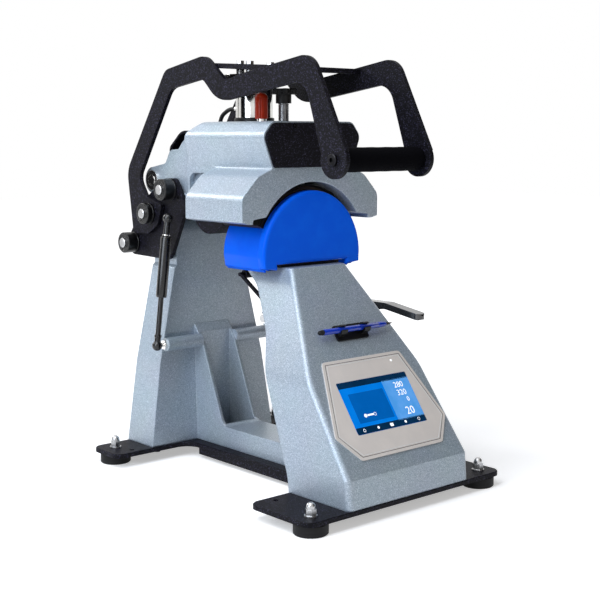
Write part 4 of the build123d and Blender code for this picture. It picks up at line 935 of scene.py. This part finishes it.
@dataclass
class Spring:
    """One gas spring between its two balls: sockets, rod, tube and a chrome gland ring.

    Lengths run up the axis from the lower ball. mouth_mm and shoulder_mm shape the tube's two ends
    as (distance, depth under the tube's radius); nut_at_mm and ring_at_mm are where a collar
    rises, is full, starts to fall and ends.
    """

    shop: Workshop
    name: str
    side: int
    foot_mm: Point = (112.0, 143.0, 178.0)
    head_mm: Point = (86.0, 148.0, 366.0)
    ball_mm: float = 7.6
    ball_sweep_degrees: float = 142.0
    ball_steps: int = 12
    neck_mm: float = 4.6
    neck_from_mm: float = 9.0
    nut_mm: float = 5.4
    nut_at_mm: tuple[float, ...] = (12.0, 13.0, 16.0, 17.0)
    rod_mm: float = 4.0
    rod_end_mm: float = 150.0
    tube_mm: float = 8.2
    tube_from_mm: float = 72.0
    tube_gap_mm: float = 0.3
    mouth_mm: tuple[Flat, ...] = ((0.0, 1.4), (1.2, 0.3), (3.0, 0.0))
    shoulder_to_ball_mm: float = 27.0
    shoulder_mm: tuple[Flat, ...] = ((-2.5, 0.0), (-0.8, 0.6), (0.0, 2.0))
    root_mm: Flat = (0.6, 0.4)
    stem_to_ball_mm: float = 11.0
    ring_mm: float = 6.2
    ring_at_mm: tuple[float, ...] = (1.0, 1.2, 2.6, 2.8)

    def ends(self) -> tuple[Vector, Vector]:
        """Give the centres of the lower and the upper ball, in millimetres."""
        return (Vector((self.side * self.foot_mm[0], *self.foot_mm[1:])),
                Vector((self.side * self.head_mm[0], *self.head_mm[1:])))

    def round_part(self, label: str, profile: list[Flat], finish: Finish, body: str,
                   slot: str = "spring_black") -> bpy.types.Object:
        """Turn one part round the spring's axis.

        Args:
            label: First half of the part's name.
            profile: Half section along the axis, measured from the lower ball.
            finish: Finish that it gets.
            body: Body that it moves with.
            slot: Material slot of the record that it belongs to.

        Returns:
            The new piece.
        """
        foot, head = self.ends()
        along = (head - foot).normalized()
        across = along.cross(Vector((0, 1, 0))).normalized()
        over = along.cross(across)

        def place(distance: float, right: float, up: float) -> Point:
            """Put a point on the spring's axis."""
            return tuple((foot + along * distance + across * right + over * up) * MM)

        return self.shop.piece(f"{label}_{self.name}", turned(profile, place), finish, body, slot)

    def socket(self, centre: float, towards: int) -> list[Flat]:
        """Half section of a ball socket.

        Args:
            centre: Where the ball's centre is along the axis.
            towards: Whether its neck points up (1) or down (-1) the axis.

        Returns:
            Points from the socket's pole to its neck, in millimetres.
        """
        section = []
        for index in range(self.ball_steps + 1):
            turn = math.radians(-90 + self.ball_sweep_degrees * index / self.ball_steps)
            section.append((centre + towards * self.ball_mm * math.sin(turn),
                            max(self.ball_mm * math.cos(turn), POLE_MM)))
        return section + [(centre + towards * self.neck_from_mm, self.neck_mm)]

    def collar(self, places: tuple[float, ...], radius: float, after: float) -> list[Flat]:
        """Half section of a collar on the neck.

        Args:
            places: Where it rises, is full, starts to fall and ends.
            radius: Radius of the collar.
            after: Radius behind it.

        Returns:
            Points of the section, in millimetres.
        """
        return list(zip(places, (self.neck_mm, radius, radius, after)))

    def build(self) -> None:
        """Make both halves of the spring and hide the plain solids."""
        foot, head = self.ends()
        length = (head - foot).length
        rod_body, tube_body = f"spring_rod_{self.name}_body", f"spring_cylinder_{self.name}_body"
        lower = (self.socket(0.0, 1) + self.collar(self.nut_at_mm, self.nut_mm, self.rod_mm)
                 + [(self.rod_end_mm, self.rod_mm), (self.rod_end_mm, POLE_MM)])
        rod = self.round_part("rod_and_socket", lower, SPRING_ENAMEL, rod_body)
        start, shoulder = self.tube_from_mm, length - self.shoulder_to_ball_mm
        tube = [(start, self.rod_mm + self.tube_gap_mm)]
        tube += [(start + step, self.tube_mm - depth) for step, depth in self.mouth_mm]
        tube += [(shoulder + step, self.tube_mm - depth) for step, depth in self.shoulder_mm]
        tube += [(shoulder + self.root_mm[0], self.neck_mm + self.root_mm[1]),
                 (length - self.stem_to_ball_mm, self.neck_mm)]
        upper = tube + list(reversed(self.socket(length, -1)))
        cylinder = self.round_part("tube_and_socket", upper, SPRING_ENAMEL, tube_body)
        ring = self.collar(tuple(shoulder + step for step in self.ring_at_mm), self.ring_mm,
                           self.neck_mm)
        self.round_part("gland_ring", ring, CHROME, tube_body, "chrome_plate")
        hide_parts(f"spring_rod_{self.name}")
        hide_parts(f"spring_cylinder_{self.name}")


@dataclass
class Pen:
    """Touch pen in its holder: round rubber tip, blue barrel and a thin black point.

    Each shape is a row of (distance in millimetres, share of the barrel's radius).
    """

    shop: Workshop
    tip_mm: float = 9.0
    tip_share: float = 0.8
    tip_steps: int = 8
    point_mm: float = 13.0
    barrel_bore_mm: float = 0.4
    barrel_front: tuple[Flat, ...] = ((0.0, 0.5), (0.0, 0.95), (0.6, 1.0))
    barrel_rear: tuple[Flat, ...] = ((-16.0, 1.0), (-15.6, 0.93), (-14.6, 0.93), (-14.2, 1.0),
                                     (-5.0, 0.92), (0.0, 0.66))
    tip_collar: tuple[Flat, ...] = ((-2.6, 0.8), (-2.2, 0.92), (0.2, 0.92))
    nib_root: tuple[Flat, ...] = ((-0.2, 0.62), (3.0, 0.5))
    nib_end: tuple[Flat, ...] = ((-2.2, 0.24), (-0.5, 0.16))

    def build(self) -> None:
        """Make the pen's pieces and hide its plain solid."""
        low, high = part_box("stylus_pen")
        y, z = (low[1] + high[1]) / 2, (low[2] + high[2]) / 2
        radius = (high[1] - low[1]) / 2
        tip_end = low[0] + self.tip_mm * MM
        point_start = high[0] - self.point_mm * MM

        def place(along: float, across: float, up: float) -> Point:
            """Put a point on the pen's own axis."""
            return (along, y + across, z + up)

        def row(start: float, shape: tuple[Flat, ...]) -> list[Flat]:
            """Lay out a shape from its start."""
            return [(start + step * MM, radius * share) for step, share in shape]

        barrel = (row(tip_end, self.barrel_front) + row(point_start, self.barrel_rear)
                  + [(point_start, self.barrel_bore_mm * MM)])
        body = self.shop.piece("pen_barrel", turned(barrel, place), PEN_ABS, "stylus", "pen_plastic")
        ball = radius * self.tip_share
        tip = [(low[0] + ball * (1 - cosine), max(ball * sine, POLE_MM * MM))
               for cosine, sine in quarter(self.tip_steps)]
        tip += row(tip_end, self.tip_collar)
        self.shop.piece("pen_rubber_tip", turned(tip, place), FOOT_RUBBER, "stylus", "pen_plastic")
        nib = row(point_start, self.nib_root) + row(high[0], self.nib_end) + [(high[0], POLE_MM * MM)]
        self.shop.piece("pen_point", turned(nib, place), BLACK_NYLON, "stylus", "pen_plastic")
        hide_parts("stylus_pen")


class Layer(IntEnum):
    """Order of the flat layers over the glass or the film."""

    FIELD = 1
    MARK = 2


@dataclass
class SlopeArt:
    """Flat layers on the console's slope: the lit picture, the film's lines of painted shade and painted
    highlight, and the status light.

    Places in the picture are shares of its width from the left and of its height from the top.
    """

    shop: Workshop
    slope: Slope = Slope()
    glass_mm: float = 1.8
    film_mm: float = 1.6
    layer_mm: float = 0.08
    left_mm: float = -63.6
    right_mm: float = 63.6
    low_mm: float = 56.0
    high_mm: float = 129.0
    block_corner_mm: float = 0.3
    disc_points: int = 32
    header: float = 0.1
    footer: float = 0.89
    dial: float = 0.68
    keys: float = 0.945
    dot_mm: float = 1.9
    ring_mm: float = 2.3
    ring_width_mm: float = 0.6
    numbers_right: float = 0.9
    numbers: tuple[tuple[str, str, float, float], ...] = (
        ("first", "280", 0.27, 8.5), ("second", "320", 0.43, 8.5), ("third", "0", 0.57, 7.0),
        ("fourth", "20", 0.82, 11.5))
    font_size_per_digit: float = 1.38
    film_corners: tuple[Flat, ...] = ((-75.0, 21.6), (75.0, 21.6), (103.0, 58.0), (72.0, 162.0),
                                      (-72.0, 162.0), (-103.0, 58.0))
    film_bottom_to_mm: float = 40.0
    film_top_from_mm: float = 100.0
    film_round_mm: float = 5.0
    light_at: Flat = (49.4, 149.4)
    light_mm: float = 1.8
    light_rise_mm: float = 0.9
    light_sunk_mm: float = 0.2
    light_rows: int = 5
    light_points: int = 20
    light_top_share: float = 0.96

    def flat(self, name: str, outline: list[Flat], finish: Finish, layer: Layer,
             base: float | None = None, slot: str = "screen_glass",
             hole: list[Flat] | None = None) -> None:
        """Lay a thin shape on the slope.

        Args:
            name: Name of the piece.
            outline: Outline, across and up the slope in millimetres.
            finish: Colour layer that it is made of.
            layer: Height over the base.
            base: Height of the base over the slope in millimetres; the glass if left out.
            slot: Material slot of the record that it belongs to.
            hole: Inner outline with as many points, if the shape is a frame.
        """
        bottom = (self.glass_mm if base is None else base) + (layer - 1) * self.layer_mm
        top = bottom + self.layer_mm
        outer = [[self.slope.spot(x, v, level) for x, v in outline] for level in (bottom, top)]
        if hole is None:
            skin = loft(outer)
        else:
            inner = [[self.slope.spot(x, v, level) for x, v in hole] for level in (top, bottom)]
            skin = loft(outer + inner + outer[:1], False)
        self.shop.piece(name, skin, finish, "stand", slot, smooth=False)

    def across(self, share: float) -> float:
        """Distance across the slope at a share of the picture's width."""
        return self.left_mm + (self.right_mm - self.left_mm) * share

    def up(self, share: float) -> float:
        """Distance up the slope at a share of the picture's height, from its top."""
        return self.high_mm - (self.high_mm - self.low_mm) * share

    def block(self, name: str, shares: tuple[float, float, float, float], finish: Finish,
              layer: Layer, corner: float | None = None) -> None:
        """Draw a block of the picture.

        Args:
            name: Name of the piece.
            shares: Its left, right, top and bottom.
            finish: Colour layer that it is made of.
            layer: Height over the glass.
            corner: Radius of its corners in millimetres; the usual one if left out.
        """
        left, right = self.across(shares[0]), self.across(shares[1])
        high, low = self.up(shares[2]), self.up(shares[3])
        soft = self.block_corner_mm if corner is None else corner
        corners = [(left, low, soft), (right, low, soft), (right, high, soft), (left, high, soft)]
        self.flat(name, rounded_corners(corners), finish, layer)

    def disc(self, name: str, at: Flat, radius: float, ring: float = 0.0) -> None:
        """Draw a white disc or ring.

        Args:
            name: Name of the piece.
            at: Its centre in the picture.
            radius: Its radius in millimetres.
            ring: Width of the ring in millimetres, or zero for a full disc.
        """
        centre = (self.across(at[0]), self.up(at[1]))
        hole = circle(centre, radius - ring, self.disc_points) if ring else None
        self.flat(name, circle(centre, radius, self.disc_points), SCREEN_WHITE, Layer.MARK, hole=hole)

    def number(self, name: str, text: str, at: Flat, size: float) -> None:
        """Write a plain number in the picture.

        Args:
            name: Name of the piece.
            text: Digits to write.
            at: Its right end and its base line.
            size: Height of the digits in millimetres.
        """
        curve = bpy.data.curves.new(name, "FONT")
        curve.body = text
        curve.align_x = "RIGHT"
        curve.size = size * self.font_size_per_digit * MM
        curve.extrude = self.layer_mm / 2 * MM
        curve.resolution_u = 3
        writer = bpy.data.objects.new(name + "_curve", curve)
        bpy.context.scene.collection.objects.link(writer)
        bpy.context.view_layer.update()
        mesh = bpy.data.meshes.new_from_object(writer)
        bpy.data.objects.remove(writer)
        rise, out = self.slope.directions()
        origin = Vector(self.slope.spot(self.across(at[0]), self.up(at[1]),
                                        self.glass_mm + (Layer.MARK - 0.5) * self.layer_mm))
        turn = Matrix((Vector((1, 0, 0)), rise, out)).transposed()
        points = [tuple(turn @ corner.co + origin) for corner in mesh.vertices]
        faces = [tuple(face.vertices) for face in mesh.polygons]
        self.shop.piece(name, (points, faces), SCREEN_WHITE, "stand", "screen_glass", smooth=False)

    def picture(self) -> None:
        """Draw the lit picture: plain blocks, numbers and shapes."""
        header, footer, dial, keys = self.header, self.footer, self.dial, self.keys
        self.block("screen_right_field", (0.62, 1.0, header, footer), SCREEN_PALE, Layer.FIELD)
        self.block("screen_panel", (0.09, 0.58, 0.24, 0.8), SCREEN_DEEP, Layer.FIELD)
        self.block("screen_header", (0.0, 1.0, 0.0, header), SCREEN_NAVY, Layer.FIELD)
        self.block("screen_footer", (0.0, 1.0, footer, 1.0), SCREEN_NAVY, Layer.FIELD)
        self.disc("screen_dial", (0.2, dial), 2.6)
        self.block("screen_dial_bar", (0.23, 0.31, 0.673, 0.687), SCREEN_WHITE, Layer.MARK)
        self.disc("screen_dial_ring", (0.335, dial), 2.4, self.ring_width_mm)
        for name, text, base, size in self.numbers:
            self.number(f"screen_number_{name}", text, (self.numbers_right, base), size)
        self.disc("screen_key_ring", (0.1, keys), self.ring_mm, self.ring_width_mm)
        self.disc("screen_key_dot", (0.3, keys), self.dot_mm)
        self.block("screen_key_square", (0.475, 0.515, 0.92, 0.97), SCREEN_WHITE, Layer.MARK, 0.6)
        self.disc("screen_key_second_dot", (0.7, keys), self.dot_mm)
        self.disc("screen_key_last_ring", (0.9, keys), self.ring_mm, self.ring_width_mm)

    def frame_line(self, name: str, inset: float, width: float, finish: Finish) -> None:
        """Paint a line round the film, a little inside its edge; the dark one is painted shade and the
        pale one painted highlight of the recess's edge.

        Args:
            name: Name of the piece.
            inset: Distance of the line from the film's edge, in millimetres.
            width: Width of the line in millimetres.
            finish: Colour of the line: painted shade for the dark one, painted highlight for the pale
                one.
        """
        paths = []
        for step in (inset, inset + width):
            corners = []
            for x, v in self.film_corners:
                shift = (step if v < self.film_bottom_to_mm
                         else -step if v > self.film_top_from_mm else 0.0)
                corners.append((x - math.copysign(step, x), v + shift, self.film_round_mm))
            paths.append(rounded_corners(corners))
        self.flat(name, paths[0], finish, Layer.FIELD, self.film_mm, "panel_film", paths[1])

    def light(self) -> None:
        """Set the status light's domed lens in the film."""
        loops = []
        for row in range(self.light_rows + 1):
            turn = math.pi / 2 * min(row / self.light_rows, self.light_top_share)
            level = self.film_mm - self.light_sunk_mm + self.light_rise_mm * math.sin(turn)
            rim = circle(self.light_at, self.light_mm * math.cos(turn), self.light_points)
            loops.append([self.slope.spot(across, up, level) for across, up in rim])
        self.shop.piece("status_light", loft(loops), SCREEN_WHITE, "stand", "panel_film")

    def build(self) -> None:
        """Lay all the layers."""
        self.picture()
        # Painted shade: a dark line at the film's edge, for the shade at the recess's edge
        self.frame_line("film_painted_shade_edge", 0.2, 0.7, PAINTED_SHADE_LINE)
        # Painted highlight: a pale line a little inside the film's edge, for light on the recess's edge
        self.frame_line("film_painted_highlight_line", 2.4, 0.6, PAINTED_HIGHLIGHT_LINE)
        self.light()


@dataclass(frozen=True)
class Lamp:
    """One soft light: where it hangs in metres, its width and height, its power in watts."""

    name: str
    place: Point
    size: Flat
    power: float
    colour: str


@dataclass(frozen=True)
class Card:
    """One black card, upright between two places on the floor, from its foot to its top."""

    name: str
    start: Flat
    end: Flat
    top: float
    foot: float = 0.05

    def corners(self) -> Loop:
        """Give its corners in order, in metres."""
        return [(*self.start, self.foot), (*self.end, self.foot), (*self.end, self.top),
                (*self.start, self.top)]


@dataclass
class Studio:
    """Pale floor, soft lights and the camera."""

    lens_mm: float = 72.09
    sensor_mm: float = 36.0
    turn_degrees: float = -41.27
    down_degrees: float = 7.8
    place_m: Point = (-1.11346, -1.32013, 0.4878)
    far_m: float = 50.0
    floor_m: float = 14.0
    shade_level: float = 0.42
    shade_to_m: float = 0.25
    white_from_m: float = 1.5
    room_level: float = 0.16
    aim_m: Point = (0.0, 0.0, 0.3)
    cards: tuple[Card, ...] = (
        Card("dark_card_front", (0.3, -2.7), (3.0, -0.6), 3.2),
        Card("dark_card_left", (-2.9, 0.3), (-2.2, 1.9), 2.4))
    lamps: tuple[Lamp, ...] = (
        Lamp("key_left", (-2.3, -0.3, 1.1), (1.3, 1.3), 28.0, "#e6f1ff"),
        Lamp("crease_front_left", (-1.6, -0.75, 1.75), (0.3, 0.7), 10.0, "#ffffff"),
        Lamp("crease_back_left", (-1.15, 2.1, 1.7), (0.4, 0.9), 18.0, "#ffffff"),
        Lamp("top_soft", (-0.8, -0.1, 2.1), (1.4, 1.4), 25.0, "#f4f8ff"),
        Lamp("front_fill", (0.9, -2.4, 1.0), (1.2, 1.2), 7.0, "#ffefdc"))

    def camera(self) -> None:
        """Set the camera at the photograph's viewing angle."""
        data = bpy.data.cameras.new("photo_camera")
        data.lens = self.lens_mm
        data.sensor_width = self.sensor_mm
        data.clip_end = self.far_m
        item = bpy.data.objects.new("photo_camera", data)
        item.location = self.place_m
        item.rotation_euler = (math.radians(90 - self.down_degrees), 0,
                               math.radians(self.turn_degrees))
        bpy.context.scene.collection.objects.link(item)
        bpy.context.scene.camera = item

    def sheet(self, name: str, corners: Loop, material: bpy.types.Material) -> bpy.types.Object:
        """Make a stage object of one flat face.

        Args:
            name: Name of the object.
            corners: Its corners in order, in metres.
            material: Material that it gets.

        Returns:
            The new object.
        """
        mesh = bpy.data.meshes.new(name)
        mesh.from_pydata(corners, [], [tuple(range(len(corners)))])
        mesh.materials.append(material)
        item = bpy.data.objects.new(name, mesh)
        bpy.context.scene.collection.objects.link(item)
        return item

    def floor(self) -> None:
        """Lay a white floor that keeps the press's shadow and turns pure white further out."""
        half = self.floor_m / 2
        material, tree = new_material("white_paper_floor")
        paper = add_node(tree, "ShaderNodeBsdfDiffuse", {"Color": linear("#f2f2f2")})
        place = add_node(tree, "ShaderNodeTexCoord").outputs["Object"]
        distance = add_node(tree, "ShaderNodeVectorMath", {"operation": "LENGTH"}, {"Vector": place})
        level = add_node(tree, "ShaderNodeMapRange", {
            "From Min": self.shade_to_m, "From Max": self.white_from_m,
            "To Min": self.shade_level, "To Max": 1.0}, {"Value": distance.outputs["Value"]})
        strength = add_node(tree, "ShaderNodeMath", {"operation": "MULTIPLY"}, {
            0: seen_directly(tree), 1: level.outputs["Result"]})
        glow = add_node(tree, "ShaderNodeEmission", {"Color": linear("#ffffff")}, {
            "Strength": strength.outputs["Value"]})
        both = add_node(tree, "ShaderNodeAddShader", {}, {
            0: paper.outputs["BSDF"], 1: glow.outputs["Emission"]})
        add_node(tree, "ShaderNodeOutputMaterial", {}, {"Surface": both.outputs["Shader"]})
        corners = [(-half, -half, 0), (half, -half, 0), (half, half, 0), (-half, half, 0)]
        self.sheet("floor", corners, material)

    def card(self, card: Card) -> None:
        """Stand a black card that only reflections see, so that bright metal gets dark bands.

        Args:
            card: Card to stand up.
        """
        material, tree = new_material(card.name)
        black = add_node(tree, "ShaderNodeBsdfDiffuse", {"Color": linear("#0a0a0c")})
        add_node(tree, "ShaderNodeOutputMaterial", {}, {"Surface": black.outputs["BSDF"]})
        item = self.sheet(card.name, card.corners(), material)
        item.visible_camera = False
        item.visible_diffuse = False
        item.visible_shadow = False

    def lamp(self, lamp: Lamp) -> None:
        """Hang one soft light that looks at the middle of the press.

        Args:
            lamp: Light to hang.
        """
        data = bpy.data.lights.new(lamp.name, "AREA")
        data.shape = "RECTANGLE"
        data.size, data.size_y = lamp.size
        data.energy = lamp.power
        data.color = linear(lamp.colour)[:3]
        item = bpy.data.objects.new(lamp.name, data)
        item.location = lamp.place
        direction = Vector(self.aim_m) - Vector(lamp.place)
        item.rotation_euler = direction.to_track_quat("-Z", "Y").to_euler()
        bpy.context.scene.collection.objects.link(item)

    def world(self) -> None:
        """Surround the press with soft light, and show white behind it."""
        world = bpy.data.worlds.new("studio")
        world.use_nodes = True
        tree = world.node_tree
        tree.nodes.clear()
        room = add_node(tree, "ShaderNodeBackground", {
            "Color": linear("#dfe6f0"), "Strength": self.room_level})
        white = add_node(tree, "ShaderNodeBackground", {"Color": linear("#ffffff"), "Strength": 1.0})
        both = add_node(tree, "ShaderNodeMixShader", {}, {
            0: seen_directly(tree), 1: room.outputs["Background"], 2: white.outputs["Background"]})
        add_node(tree, "ShaderNodeOutputWorld", {}, {"Surface": both.outputs["Shader"]})
        bpy.context.scene.world = world

    def build(self) -> None:
        """Set up camera, floor, world, cards and lights."""
        self.camera()
        self.floor()
        self.world()
        for card in self.cards:
            self.card(card)
        for lamp in self.lamps:
            self.lamp(lamp)
        bpy.context.scene.view_settings.view_transform = "Standard"


def main() -> None:
    """Dress the frame, build the modelled pieces and light the press."""
    logging.basicConfig(level=logging.INFO, format="%(name)s: %(message)s")
    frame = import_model()
    shop = Workshop(frame)
    Studio().build()
    shop.dress_nodes()
    PlatenPad(shop).build()
    Rollers(shop).build()
    Spring(shop, "right", 1).build()
    Spring(shop, "left", -1).build()
    Grip(shop).build()
    PressureScrew(shop).build()
    Pen(shop).build()
    SlopeArt(shop).build()


if __name__ == "__main__":
    main()
